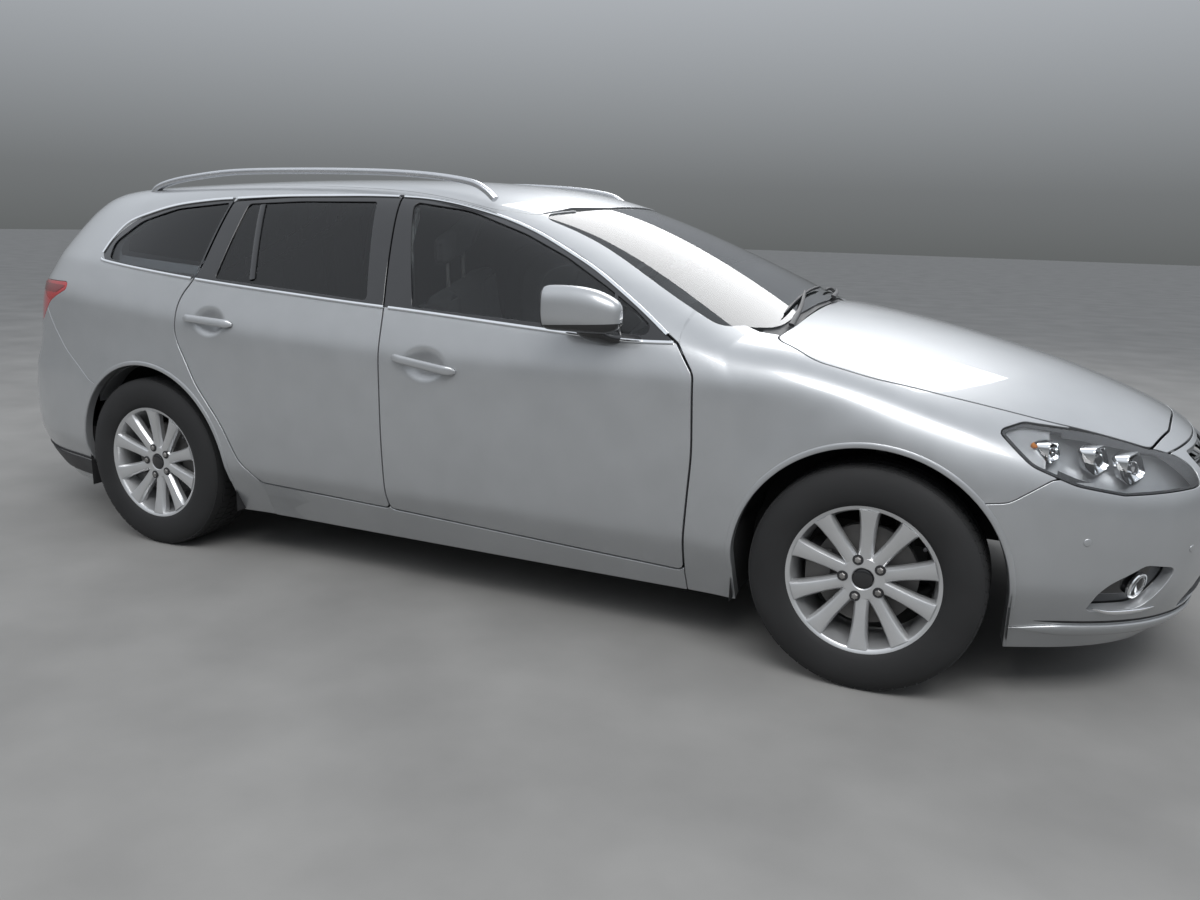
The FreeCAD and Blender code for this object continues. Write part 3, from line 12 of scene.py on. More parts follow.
import bmesh
import bpy
import numpy as np
from mathutils import Matrix, Vector


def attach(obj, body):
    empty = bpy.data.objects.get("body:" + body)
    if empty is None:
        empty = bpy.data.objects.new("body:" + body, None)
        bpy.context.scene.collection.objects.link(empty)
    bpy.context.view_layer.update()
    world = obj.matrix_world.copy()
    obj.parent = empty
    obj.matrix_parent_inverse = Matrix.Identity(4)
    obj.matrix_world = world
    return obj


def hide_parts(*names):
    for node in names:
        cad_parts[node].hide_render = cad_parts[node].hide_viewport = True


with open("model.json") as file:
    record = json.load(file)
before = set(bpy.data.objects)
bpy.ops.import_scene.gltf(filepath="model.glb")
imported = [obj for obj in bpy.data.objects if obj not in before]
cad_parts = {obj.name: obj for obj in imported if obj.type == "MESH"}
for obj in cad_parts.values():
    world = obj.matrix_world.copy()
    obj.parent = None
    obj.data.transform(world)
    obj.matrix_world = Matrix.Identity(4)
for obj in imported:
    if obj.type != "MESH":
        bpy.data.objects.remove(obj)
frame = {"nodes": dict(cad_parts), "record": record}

log = logging.getLogger("wagon")
Array = np.ndarray
Field = Callable[[Array], Array]
Outline = Sequence[tuple[float, float, float]]
Table = tuple[tuple[float, ...], ...]

FRONT_AXLE_X = 1435.0
REAR_AXLE_X = -1315.0
WHEEL_Y = 795.0
TYRE_RADIUS = 335.0
ARCH_RADIUS = 385.0
ARCH_CENTRE_Z = 338.0


@dataclass(frozen=True)
class Outlines:
    """Where panels, windows and lamps end, drawn for the right side."""

    # Seen from the side. Columns: x, z, corner radius.
    front_door: Table = (
        (-203, 301, 25), (890, 252, 25), (918, 640, 900), (908, 880, 60), (845, 966, 25), (575, 1133, 900),
        (418, 1208, 900), (242, 1279, 900), (17, 1345, 700), (-150, 1374, 700), (-296, 1383, 8), (-211, 1016, 300))
    rear_door: Table = (
        (-198, 301, 20), (-206, 1016, 300), (-291, 1383, 8), (-700, 1376, 1500), (-1015, 1352, 20),
        (-1050, 1085, 200), (-1131, 985, 160), (-1141, 850, 160), (-1040, 676, 260), (-930, 540, 500),
        (-860, 395, 180), (-780, 318, 60))
    front_window: Table = (
        (-96, 1016, 12), (790, 977, 18), (690, 1046, 300), (566, 1112, 900), (401, 1193, 900), (225, 1262, 700),
        (-10, 1333, 500), (-230, 1358, 12))
    rear_window: Table = (
        (-283, 1026, 12), (-380, 1356, 14), (-700, 1352, 1500), (-936, 1339, 14), (-964, 1090, 14),
        (-968, 1068, 12), (-690, 1052, 900))
    quarter_window: Table = (
        (-1064, 1076, 8), (-1028, 1340, 10), (-1273, 1313, 300), (-1440, 1262, 160), (-1548, 1178, 40),
        (-1540, 1122, 14), (-1450, 1105, 300))
    quarter: Table = (
        (-780, 318, 60), (-860, 395, 180), (-930, 540, 500), (-1040, 676, 260), (-1141, 850, 160),
        (-1131, 985, 160), (-1050, 1085, 200), (-1015, 1352, 10), (-1015, 1520, 0), (-2500, 1520, 0),
        (-2500, 905, 0), (-1985, 905, 40), (-1800, 745, 200), (-1640, 640, 30), (-1500, 600, 0), (-1500, 150, 0),
        (-780, 150, 0))
    wing: Table = (
        (890, 150, 0), (890, 252, 25), (918, 640, 900), (908, 880, 60), (845, 966, 25), (845, 1100, 0),
        (2300, 1100, 0), (2300, 735, 0), (1889, 676, 30), (1792, 612, 60), (1700, 602, 0), (1435, 500, 0),
        (1435, 150, 0))
    headlamp_side: Table = (
        (1740, 792, 8), (1836, 708, 120), (1950, 661, 200), (2070, 636, 0), (2420, 636, 0), (2420, 745, 0),
        (2130, 742, 0), (1950, 782, 0), (1800, 806, 60))
    tail_lamp_side: Table = (
        (-1790, 1016, 14), (-1800, 985, 14), (-1945, 930, 200), (-2060, 840, 80), (-2420, 840, 0), (-2420, 1010, 0),
        (-2027, 1013, 200))
    daylight: Table = (
        (-1006, 1362, 0), (-1275, 1331, 900), (-1515, 1258, 260), (-1600, 1140, 20), (-1560, 1106, 20),
        (-1036, 1058, 900), (-990, 1054, 0))
    # Seen from the front or from behind. Columns: y, z, corner radius.
    headlamp_front: Table = (
        (-905, 560, 0), (-905, 860, 0), (-700, 860, 0), (-534, 736, 20), (-452, 700, 30), (-505, 640, 30),
        (-640, 624, 200), (-700, 560, 0))
    grille: Table = (
        (0, 728, 0), (-415, 712, 30), (-450, 660, 40), (-250, 468, 120), (0, 440, 0))
    lower_intake: Table = (
        (0, 382, 0), (-430, 382, 30), (-500, 262, 30), (0, 262, 0))
    fog_recess: Table = (
        (-742, 300, 20), (-760, 380, 60), (-690, 440, 20), (-600, 420, 20), (-640, 300, 30))
    tailgate: Table = (
        (0, 690, 0), (-560, 690, 60), (-596, 860, 60), (-600, 1010, 60), (-640, 1075, 60), (-572, 1290, 120),
        (-520, 1330, 40), (-380, 1354, 200), (0, 1366, 0))
    tailgate_glass: Table = (
        (0, 1050, 0), (-560, 1062, 40), (-500, 1316, 60), (0, 1338, 0))
    # Seen from above. Columns: x, y, corner radius.
    bonnet: Table = (
        (1128, 0, 0), (1118, -560, 300), (1100, -738, 60), (1240, -822, 120), (1400, -815, 400), (1607, -753, 900),
        (1867, -665, 900), (2137, -532, 60), (2196, -330, 200), (2236, 0, 900))
    screen: Table = (
        (372, 0, 900), (330, -300, 700), (206, -545, 40), (443, -568, 900), (789, -715, 900), (940, -762, 60),
        (1075, -600, 200), (1098, -300, 900), (1108, 0, 0))
    roof: Table = (
        (366, 0, 900), (324, -300, 700), (200, -545, 60), (60, -596, 200), (-1640, -596, 200), (-1900, -540, 300),
        (-2040, -420, 200), (-2090, 0, 0))
    # Bright lines seen from the side. Columns: x, z.
    belt_trim: Table = (
        (-1586, 1116), (-1530, 1104), (-1036, 1059), (-434, 1020), (-61, 1001), (355, 977), (664, 962), (842, 964))
    upper_trim: Table = (
        (-1594, 1138), (-1570, 1192), (-1515, 1256), (-1400, 1298), (-1275, 1329), (-1120, 1349), (-997, 1358),
        (-800, 1369), (-596, 1374), (-400, 1377), (-224, 1373), (-100, 1359), (17, 1336), (140, 1305), (266, 1263),
        (400, 1207), (528, 1148), (696, 1055), (823, 974))
    tail_lamp_end_y: float = -606.0


CUTS = Outlines()


def belt_height(x: Array) -> Array:
    """The height of the bright line under the side windows."""
    return np.interp(x, *np.array(CUTS.belt_trim, float).T)


@dataclass(frozen=True)
class Form:
    """The body's smooth outer form, as a field that is positive inside it."""

    # Columns: x or z along the wagon, then the value there.
    belt_z: Table = (
        (-2300, 1122), (-1660, 1105), (-1090, 1073), (-690, 1044), (-203, 1014), (364, 973), (900, 955),
        (1300, 950))
    shoulder_z: Table = (
        (-2300, 1000), (-1600, 950), (-1100, 905), (-700, 875), (0, 855), (900, 868), (1250, 885), (1435, 875),
        (1750, 795), (2100, 700))
    nose_x: Table = (
        (150, 2270), (180, 2300), (240, 2345), (330, 2380), (450, 2398), (560, 2400), (650, 2385), (720, 2345),
        (780, 2290), (850, 2230), (1000, 2150))
    tail_x: Table = (
        (150, -2270), (180, -2300), (250, -2350), (350, -2385), (450, -2398), (560, -2400), (650, -2392),
        (700, -2370), (760, -2352), (850, -2345), (950, -2335), (1010, -2318), (1040, -2300), (1120, -2255),
        (1200, -2205), (1280, -2148), (1340, -2100), (1380, -2060), (1450, -2000))
    bonnet_z: Table = (
        (1050, 1056), (1180, 1046), (1400, 1012), (1650, 958), (1900, 893), (2100, 825), (2250, 765), (2330, 720))
    bonnet_drop: Table = (
        (1000, 60), (1200, 65), (2130, 130), (2400, 150))
    roof_z: Table = (
        (-2130, 1372), (-2000, 1388), (-1700, 1415), (-1300, 1438), (-900, 1452), (-500, 1456), (-200, 1450),
        (100, 1428), (330, 1398), (600, 1350))
    roof_drop: Table = (
        (-2000, 100), (-300, 120), (190, 200), (400, 220))
    tail_squareness: Table = (
        (600, 3.6), (1000, 3.2), (1350, 2.6))
    half_width_max: float = 914.0
    plan_bow: float = 7.0
    flank_middle_z: float = 650.0
    flank_curve: float = 1.9e-4
    sill_z: float = 370.0
    sill_lean: float = 0.35
    shoulder_lean: float = 0.28
    window_lean: float = 0.22
    window_curve: float = 2.78e-4
    arch_flare: float = 12.0
    arch_flare_reach: float = 90.0
    nose_start_x: float = 1450.0
    nose_squareness: float = 2.5
    tail_start_x: float = -1000.0
    screen_head: tuple[float, float] = (330.0, 1395.0)
    screen_slope: float = 0.43
    screen_crown: float = 10.0

    @staticmethod
    def reading(table: Sequence[tuple[float, float]], at: Array) -> Array:
        """Reads a smooth line through a table's rows.

        Args:
            table: rows of place and value, in rising places.
            at: the places to read.

        Returns:
            The values there, straight beyond the table's ends.
        """
        place = np.array([row[0] for row in table], float)
        value = np.array([row[1] for row in table], float)
        slope = np.empty_like(value)
        slope[1:-1] = (value[2:] - value[:-2]) / (place[2:] - place[:-2])
        slope[0] = (value[1] - value[0]) / (place[1] - place[0])
        slope[-1] = (value[-1] - value[-2]) / (place[-1] - place[-2])
        row = np.clip(np.searchsorted(place, at) - 1, 0, len(place) - 2)
        span = place[row + 1] - place[row]
        t = np.clip((at - place[row]) / span, 0, 1)
        out = (1 + 2 * t) * (1 - t) ** 2 * value[row] + t * (1 - t) ** 2 * span * slope[row]
        out += t * t * (3 - 2 * t) * value[row + 1] + t * t * (t - 1) * span * slope[row + 1]
        out += np.minimum(at - place[0], 0) * slope[0] + np.maximum(at - place[-1], 0) * slope[-1]
        return out

    @staticmethod
    def soft_step(distance: Array, width: float) -> Array:
        """Nothing below zero and the distance above it, rounded over the width."""
        return width * np.logaddexp(0, distance / width)

    def half_width(self, x: Array, z: Array) -> Array:
        """The flank's distance from the centre line before the ends are rounded.

        Args:
            x: places along the wagon.
            z: heights.

        Returns:
            The distances.
        """
        y = self.half_width_max - self.plan_bow * (x / 1400) ** 2
        y = y - self.flank_curve * np.maximum(0.0, self.flank_middle_z - z) ** 2
        y = y - self.sill_lean * self.soft_step(self.sill_z - z, 12)
        y = y - self.shoulder_lean * self.soft_step(z - self.reading(self.shoulder_z, x), 16)
        above = z - self.reading(self.belt_z, x)
        y = y - self.window_lean * self.soft_step(above, 6) - self.window_curve * np.maximum(0.0, above) ** 2
        for axle_x in (FRONT_AXLE_X, REAR_AXLE_X):
            away = np.hypot(x - axle_x, z - ARCH_CENTRE_Z) - ARCH_RADIUS
            y = y + self.arch_flare * np.exp(-(away / self.arch_flare_reach) ** 2)
        return np.maximum(y, 60.0)

    def plan(self, p: Array) -> Array:
        """How far points lie inside the flanks and the rounded ends.

        Args:
            p: points in mm, one a row.

        Returns:
            The distances, negative outside.
        """
        x, y, z = p[:, 0], np.abs(p[:, 1]), p[:, 2]
        half = self.half_width(x, z)
        nose, tail = self.nose_start_x, self.tail_start_x
        power = np.where(x > nose, self.nose_squareness, self.reading(self.tail_squareness, z))
        along = np.where(x > nose, (x - nose) / (self.reading(self.nose_x, z) - nose),
                         (tail - x) / (tail - self.reading(self.tail_x, z)))
        along = np.maximum(along, 0.0)
        ends = half * (1 - ((y / half) ** power + along ** power) ** (1 / power))
        return np.where((x > nose) | (x < tail), ends, half - y)

    @staticmethod
    def soft_least(values: Sequence[Array], rounding: float) -> Array:
        """The least value, with the edge between equal ones rounded."""
        least = np.minimum.reduce(values)
        return least - rounding * np.log(sum(np.exp((least - v) / rounding) for v in values))

    def lower(self, p: Array) -> Array:
        """The body under the bonnet and the belt."""
        top = self.reading(self.bonnet_z, p[:, 0]) - self.reading(self.bonnet_drop, p[:, 0]) * (p[:, 1] / 700) ** 2
        return self.soft_least((self.plan(p), top - p[:, 2]), 40)

    def upper(self, p: Array) -> Array:
        """The body under the roof and the windscreen.

        Args:
            p: points in mm, one a row.

        Returns:
            Positive inside.
        """
        x, y, z = p[:, 0], p[:, 1], p[:, 2]
        roof = self.reading(self.roof_z, x) - self.reading(self.roof_drop, x) * (y / 1000) ** 2
        bow = 360 - 136 * (x - 190) / 735
        head_x, head_z = self.screen_head
        screen = head_z - self.screen_slope * (x - head_x) - bow * (y / 1000) ** 2
        screen = screen + self.screen_crown * (1 - ((x - 740) / 430) ** 2)
        return self.soft_least((self.plan(p), roof - z, 0.9 * (screen - z)), 30)

    def whole(self, p: Array) -> Array:
        """The body with bonnet and cabin together."""
        return np.maximum(self.lower(p), self.upper(p))

    @staticmethod
    def surface(inside: Field, start: Array, ray: Array, reach: float) -> Array:
        """Where rays from inside the form leave it.

        Args:
            inside: the form's field.
            start: points inside the form.
            ray: a direction for each.
            reach: how far they may go.

        Returns:
            The points where they leave it.
        """
        near = np.zeros(len(start))
        far = np.full(len(start), reach)
        for _ in range(24):
            middle = (near + far) / 2
            within = inside(start + ray * middle[:, None]) > 0
            near = np.where(within, middle, near)
            far = np.where(within, far, middle)
        return start + ray * near[:, None]


BODY = Form()


class Plane(Enum):
    """The two axes that an outline's columns run along."""

    SIDE = (0, 2)
    FRONT = (1, 2)
    TOP = (0, 1)


def rounded(points: Outline, step: float = 4.0) -> Array:
    """A closed polyline along an outline's straights and arcs.

    Args:
        points: rows of two columns and a corner radius.
        step: distance between points.

    Returns:
        The polyline's points.
    """
    count = len(points)
    out: list[Array] = []
    for index, (u, v, radius) in enumerate(points):
        here = np.array((u, v), float)
        back = np.array(points[index - 1][:2], float) - here
        on = np.array(points[(index + 1) % count][:2], float) - here
        back /= np.linalg.norm(back)
        on /= np.linalg.norm(on)
        half = math.acos(max(-1.0, min(1.0, float(back @ on)))) / 2
        if radius <= 0 or half > math.pi / 2 - 0.002:
            out.append(here)
            continue
        cut = radius / math.tan(half)
        middle = (back + on) / np.linalg.norm(back + on)
        centre = here + middle * radius / math.sin(half)
        sweep = math.pi - 2 * half
        number = max(2, int(sweep * radius / step) + 2)
        first, last = here + back * cut - centre, here + on * cut - centre
        for t in np.linspace(0, 1, number):
            arm = first * math.sin((1 - t) * sweep) + last * math.sin(t * sweep)
            out.append(centre + arm / math.sin(sweep))
    return np.array(out)


def mirrored_outline(points: Outline, column: int) -> Outline:
    """An outline given for the right side, closed by its mirror image.

    Args:
        points: rows of two columns and a corner radius.
        column: the column to mirror.

    Returns:
        The whole outline.
    """
    other = []
    for row in reversed(points):
        if abs(row[column]) > 0.01:
            flip = list(row)
            flip[column] = -flip[column]
            other.append(tuple(flip))
    return list(points) + other


def within(points: Outline, plane: Plane = Plane.SIDE, grow: float = 0.0) -> Field:
    """A field that is positive inside an outline swept square to its plane.

    Args:
        points: rows of two columns and a corner radius.
        plane: the plane it is drawn in.
        grow: distance added all round.

    Returns:
        The field.
    """
    line = rounded(points)
    start, end = line, np.roll(line, -1, axis=0)
    run = end - start
    length = np.maximum((run ** 2).sum(1), 1e-9)

    def value(p: Array) -> Array:
        """Distance to the outline, negative outside it."""
        q = p[:, plane.value]
        best = np.full(len(q), 1e12)
        odd = np.zeros(len(q), bool)
        for a, b, d, size in zip(start, end, run, length):
            t = np.clip(((q - a) @ d) / size, 0, 1)
            best = np.minimum(best, ((q - a - t[:, None] * d) ** 2).sum(1))
            crossing = (a[1] > q[:, 1]) != (b[1] > q[:, 1])
            if crossing.any() and abs(d[1]) > 1e-9:
                at = a[0] + (q[:, 1] - a[1]) * d[0] / d[1]
                odd ^= crossing & (q[:, 0] < at)
        return np.where(odd, 1, -1) * np.sqrt(best) + grow
    return value


def opposite(one: Field) -> Field:
    """The field with its sign turned."""
    return lambda p: -one(p)


def grown(one: Field, distance: float) -> Field:
    """The field with its zero line moved outwards."""
    return lambda p: one(p) + distance


def all_of(*fields: Field) -> Field:
    """Positive where every field is."""
    return lambda p: np.minimum.reduce([one(p) for one in fields])


def outside(points: Outline, plane: Plane = Plane.SIDE, grow: float = 0.0) -> Field:
    """Positive outside the outline grown by a distance."""
    return opposite(within(points, plane, grow))


def beyond(axis: int, at: float, sign: float = 1.0) -> Field:
    """Positive on one side of a plane across an axis."""
    return lambda p: sign * (p[:, axis] - at)


def off_arch(axle_x: float, grow: float = 0.0) -> Field:
    """Positive outside a wheel's opening.

    Args:
        axle_x: the axle's place.
        grow: distance added all round.

    Returns:
        The field.
    """
    def value(p: Array) -> Array:
        """Distance to the opening's edge, negative inside it."""
        away = np.hypot(p[:, 0] - axle_x, p[:, 2] - ARCH_CENTRE_Z)
        below = np.abs(p[:, 0] - axle_x)
        return np.where(p[:, 2] > ARCH_CENTRE_Z, away, below) - ARCH_RADIUS - grow
    return value


@dataclass
class Sheet:
    """Part of the form's surface: points in mm with normals, in triangles seen from outside."""

    points: Array
    normals: Array
    triangles: Array

    @classmethod
    def from_grid(cls, grid: Array) -> "Sheet":
        """A sheet from rows and columns of points.

        Args:
            grid: rows and columns of points.

        Returns:
            The sheet.
        """
        rows, columns = grid.shape[:2]
        down = np.gradient(grid, axis=0)
        across = np.gradient(grid, axis=1)
        normals = np.cross(across, down)
        normals /= np.maximum(np.linalg.norm(normals, axis=2, keepdims=True), 1e-9)
        index = np.arange(rows * columns).reshape(rows, columns)
        a, b, c, d = index[:-1, :-1], index[:-1, 1:], index[1:, 1:], index[1:, :-1]
        upper = np.stack((a, b, c), -1).reshape(-1, 3)
        lower = np.stack((a, c, d), -1).reshape(-1, 3)
        sheet = cls(grid.reshape(-1, 3), normals.reshape(-1, 3), np.vstack((upper, lower)))
        middle = sheet.points.mean(0)
        outward = ((sheet.points - np.array((middle[0] * 0.6, 0, 600))) * sheet.normals).sum(1).mean()
        if outward < 0:
            sheet.normals *= -1
            sheet.triangles = sheet.triangles[:, ::-1]
        return sheet

    def cut(self, *fields: Field) -> "Sheet":
        """What lies where every field is positive, with clean edges.

        Args:
            fields: each positive where the sheet stays.

        Returns:
            The sheet that is left.
        """
        sheet = self
        for one in fields:
            sheet = sheet._cut_once(one)
        return sheet

    def _cut_once(self, one: Field) -> "Sheet":
        """What lies where one field is positive.

        Args:
            one: the field.

        Returns:
            The sheet that is left.
        """
        value = one(self.points)
        value = np.where(np.abs(value) < 1e-4, 1e-4, value)
        inside = value[self.triangles] > 0
        count = inside.sum(1)
        kept = [self.triangles[count == 3]]
        keys: dict[int, int] = {}
        points, normals = [self.points], [self.normals]
        total = len(self.points)

        def crossing(first: Array, second: Array) -> Array:
            """New points where edges from inside to outside meet the zero line.

            Args:
                first: the edges' first points.
                second: their second points.

            Returns:
                The new points' numbers.
            """
            nonlocal total
            key = first.astype(np.int64) * len(value) + second
            unique, back = np.unique(key, return_inverse=True)
            a, b = unique // len(value), unique % len(value)
            fresh = np.array([k not in keys for k in unique], bool)
            if fresh.any():
                fa, fb = value[a[fresh]], value[b[fresh]]
                t = (fa / (fa - fb))[:, None]
                points.append(self.points[a[fresh]] * (1 - t) + self.points[b[fresh]] * t)
                blend = self.normals[a[fresh]] * (1 - t) + self.normals[b[fresh]] * t
                normals.append(blend / np.linalg.norm(blend, axis=1, keepdims=True))
                for k in unique[fresh]:
                    keys[int(k)] = total
                    total += 1
            return np.array([keys[int(k)] for k in unique])[back]

        for want in (1, 2):
            chosen = self.triangles[count == want]
            flags = inside[count == want]
            if not len(chosen):
                continue
            first = np.argmax(flags if want == 1 else ~flags, axis=1)
            rolled = np.take_along_axis(chosen, (first[:, None] + np.arange(3)) % 3, axis=1)
            a, b, c = rolled.T
            if want == 1:
                kept.append(np.stack((a, crossing(a, b), crossing(a, c)), 1))
            else:
                at_b, at_c = crossing(b, a), crossing(c, a)
                kept.append(np.stack((at_b, b, c), 1))
                kept.append(np.stack((at_b, c, at_c), 1))
        return Sheet(np.vstack(points), np.vstack(normals), np.vstack(kept)).compact()

    def compact(self) -> "Sheet":
        """The same without unused points, with near points joined.

        Returns:
            The sheet.
        """
        used = np.unique(self.triangles)
        rounded_points = np.round(self.points[used], 2)
        _, first, back = np.unique(rounded_points, axis=0, return_index=True, return_inverse=True)
        lookup = np.full(len(self.points), -1)
        lookup[used] = back.ravel()
        triangles = lookup[self.triangles]
        a, b, c = triangles.T
        triangles = triangles[(a != b) & (b != c) & (a != c)]
        return Sheet(self.points[used][first], self.normals[used][first], triangles)

    def shifted(self, depth: float) -> "Sheet":
        """The same sheet, deeper along its normals."""
        return Sheet(self.points - self.normals * depth, self.normals, self.triangles)

    def flipped(self) -> "Sheet":
        """The same sheet, seen from the inside."""
        return Sheet(self.points, -self.normals, self.triangles[:, ::-1])

    def mirrored(self) -> "Sheet":
        """The same sheet on the wagon's left."""
        flip = np.array((1.0, -1.0, 1.0))
        return Sheet(self.points * flip, self.normals * flip, self.triangles[:, ::-1])

    def plus(self, *others: "Sheet") -> "Sheet":
        """Sheets as one, joined where their points meet.

        Args:
            others: the other sheets.

        Returns:
            The joined sheet.
        """
        points, normals, triangles, base = [], [], [], 0
        for sheet in (self,) + others:
            points.append(sheet.points)
            normals.append(sheet.normals)
            triangles.append(sheet.triangles + base)
            base += len(sheet.points)
        return Sheet(np.vstack(points), np.vstack(normals), np.vstack(triangles)).compact()

    def whole(self) -> "Sheet":
        """A right half with its mirror image.

        Returns:
            The whole sheet.
        """
        close = np.abs(self.points[:, 1]) < 0.05
        self.points[close, 1] = 0.0
        self.normals[close, 1] = 0.0
        return self.plus(self.mirrored())

    def border(self) -> Array:
        """Edges with a triangle on one side only, in that triangle's order.

        Returns:
            Pairs of point numbers.
        """
        t = self.triangles
        edges = np.vstack((t[:, (0, 1)], t[:, (1, 2)], t[:, (2, 0)])).astype(np.int64)
        count = len(self.points)
        key = np.sort(edges, axis=1) @ np.array((count, 1))
        _, index, number = np.unique(key, return_index=True, return_counts=True)
        return edges[index[number == 1]]

    def rolled(self, radius: float, depth: float, lip: float = 10.0, skip: Field | None = None) -> "Sheet":
        """The sheet with its border rolled over into a flange.

        Args:
            radius: of the rolled edge.
            depth: of the flange under the surface.
            lip: width of the return at the flange's foot.
            skip: border points where this field is under 0.05 stay open.

        Returns:
            The sheet and its flange.
        """
        edges = self.border()
        if skip is not None:
            near = np.abs(skip(self.points)) < 0.05
            edges = edges[~(near[edges[:, 0]] & near[edges[:, 1]])]
        if not len(edges):
            return self
        run = self.points[edges[:, 1]] - self.points[edges[:, 0]]
        run /= np.maximum(np.linalg.norm(run, axis=1, keepdims=True), 1e-9)
        away = np.zeros_like(self.points)
        for end in (0, 1):
            np.add.at(away, edges[:, end], np.cross(run, self.normals[edges[:, end]]))
        used, back = np.unique(edges, return_inverse=True)
        local = back.reshape(-1, 2)
        out = away[used] / np.maximum(np.linalg.norm(away[used], axis=1, keepdims=True), 1e-9)
        base, normal = self.points[used], self.normals[used]
        diagonal = math.sqrt(0.5)
        rings = [
            (base, normal),
            (base + out * radius * diagonal - normal * radius * (1 - diagonal), (out + normal) * diagonal),
            (base + out * radius - normal * radius, out),
            (base + out * radius - normal * depth, out),
            (base + out * radius - normal * depth, -normal),
            (base + out * (radius - lip) - normal * depth, -normal),
        ]
        points, normals, triangles = [self.points], [self.normals], [self.triangles]
        offset = len(self.points)
        ids = [used]
        for where, facing in rings[1:]:
            ids.append(np.arange(len(used)) + offset)
            points.append(where)
            normals.append(facing)
            offset += len(used)
        for inner, outer in ((0, 1), (1, 2), (2, 3), (4, 5)):
            i, j = ids[inner][local[:, 0]], ids[inner][local[:, 1]]
            i2, j2 = ids[outer][local[:, 0]], ids[outer][local[:, 1]]
            triangles.append(np.stack((j, i, i2), 1))
            triangles.append(np.stack((j, i2, j2), 1))
        return Sheet(np.vstack(points), np.vstack(normals), np.vstack(triangles))

    def build(self, name: str, finish: bpy.types.Material) -> bpy.types.Object:
        """A Blender object from the sheet, shaded by its own normals.

        Args:
            name: of the object.
            finish: its material.

        Returns:
            The object.
        """
        mesh = bpy.data.meshes.new(name)
        mesh.from_pydata((self.points / 1000).tolist(), [], self.triangles.tolist())
        mesh.polygons.foreach_set("use_smooth", [True] * len(mesh.polygons))
        mesh.normals_split_custom_set_from_vertices(self.normals.tolist())
        mesh.materials.append(finish)
        piece = bpy.data.objects.new(name, mesh)
        bpy.context.scene.collection.objects.link(piece)
        return piece


class Grids:
    """Base sheets of the form, cut into panels later."""

    @staticmethod
    def side(x_range: tuple[float, float], z_range: tuple[float, float], step: float = 11.0,
             cups: Sequence[tuple[float, float, float, float]] = ()) -> Sheet:
        """The right flank, measured straight across, with round hollows behind the handles.

        Args:
            x_range: rear and front end.
            z_range: foot and top.
            step: distance between points.
            cups: rows of x, z, half width and half height.

        Returns:
            The sheet.
        """
        xs = np.linspace(*x_range, max(2, int((x_range[1] - x_range[0]) / step)))
        zs = np.linspace(*z_range, max(2, int((z_range[1] - z_range[0]) / step)))
        x, z = np.meshgrid(xs, zs, indexing="ij")
        start = np.stack((x, np.zeros_like(x), z), -1).reshape(-1, 3)
        ray = np.tile((0.0, -1.0, 0.0), (len(start), 1))
        found = BODY.surface(BODY.upper, start, ray, 1000)
        for middle_x, middle_z, wide, high in cups:
            away = ((found[:, 0] - middle_x) / wide) ** 2 + ((found[:, 2] - middle_z) / high) ** 2
            found[:, 1] += 21 * np.clip(1 - away, 0, 1) ** 1.5
        return Sheet.from_grid(found.reshape(*x.shape, 3))

    @staticmethod
    def rail(x_range: tuple[float, float], step: float = 12.0) -> Sheet:
        """The roof's edge and the windscreen pillar, in sections across the wagon.

        Args:
            x_range: rear and front end.
            step: distance between points.

        Returns:
            The sheet.
        """
        xs = np.linspace(*x_range, int((x_range[1] - x_range[0]) / step))
        lifts = np.radians(np.concatenate((np.arange(-4, 40, 2.0), np.arange(40, 76, 1.0), np.arange(76, 100, 2.5))))
        x, lift = np.meshgrid(xs, lifts, indexing="ij")
        start = np.stack((x, np.full_like(x, -470), np.full_like(x, 900)), -1).reshape(-1, 3)
        ray = np.stack((np.zeros_like(x), -np.cos(lift), np.sin(lift)), -1).reshape(-1, 3)
        return Sheet.from_grid(BODY.surface(BODY.upper, start, ray, 900).reshape(*x.shape, 3))

    @staticmethod
    def top(inside: Field, floor: float, x_range: tuple[float, float], y_end: float, step: float = 14.0) -> Sheet:
        """Bonnet, roof or windscreen over the right half, measured straight up.

        Args:
            inside: the form's field.
            floor: height the rays start at.
            x_range: rear and front end.
            y_end: half its width.
            step: distance between points.

        Returns:
            The sheet.
        """
        xs = np.linspace(*x_range, int((x_range[1] - x_range[0]) / step))
        ys = np.linspace(0, -y_end, int(y_end / step))
        x, y = np.meshgrid(xs, ys, indexing="ij")
        start = np.stack((x, y, np.full_like(x, floor)), -1).reshape(-1, 3)
        ray = np.tile((0.0, 0.0, 1.0), (len(start), 1))
        return Sheet.from_grid(BODY.surface(inside, start, ray, 900).reshape(*x.shape, 3))

    @staticmethod
    def wrap(inside: Field, centre_x: float, angles: Array, heights: Array, lifts: Array) -> Sheet:
        """One rounded end of the body, in upright sections about an axis.

        Args:
            inside: the form's field.
            centre_x: the axis's place.
            angles: degrees about it, from straight ahead.
            heights: of the sections.
            lifts: degrees of the rays over the last section.

        Returns:
            The sheet.
        """
        turn = np.radians(angles)
        out = np.stack((np.cos(turn), np.sin(turn), np.zeros_like(turn)), -1)
        columns = []
        for z in heights:
            start = np.tile((centre_x, 0.0, z), (len(turn), 1))
            columns.append(BODY.surface(inside, start, out, 2000))
        reach = ((columns[-1] - np.array((centre_x, 0.0, heights[-1]))) * out).sum(1) * 0.72
        knee = np.array((centre_x, 0.0, heights[-1])) + out * reach[:, None]
        for lift in np.radians(lifts):
            ray = out * math.cos(lift) + np.array((0, 0, math.sin(lift)))
            columns.append(BODY.surface(inside, knee, ray, 900))
        return Sheet.from_grid(np.stack(columns, 1))


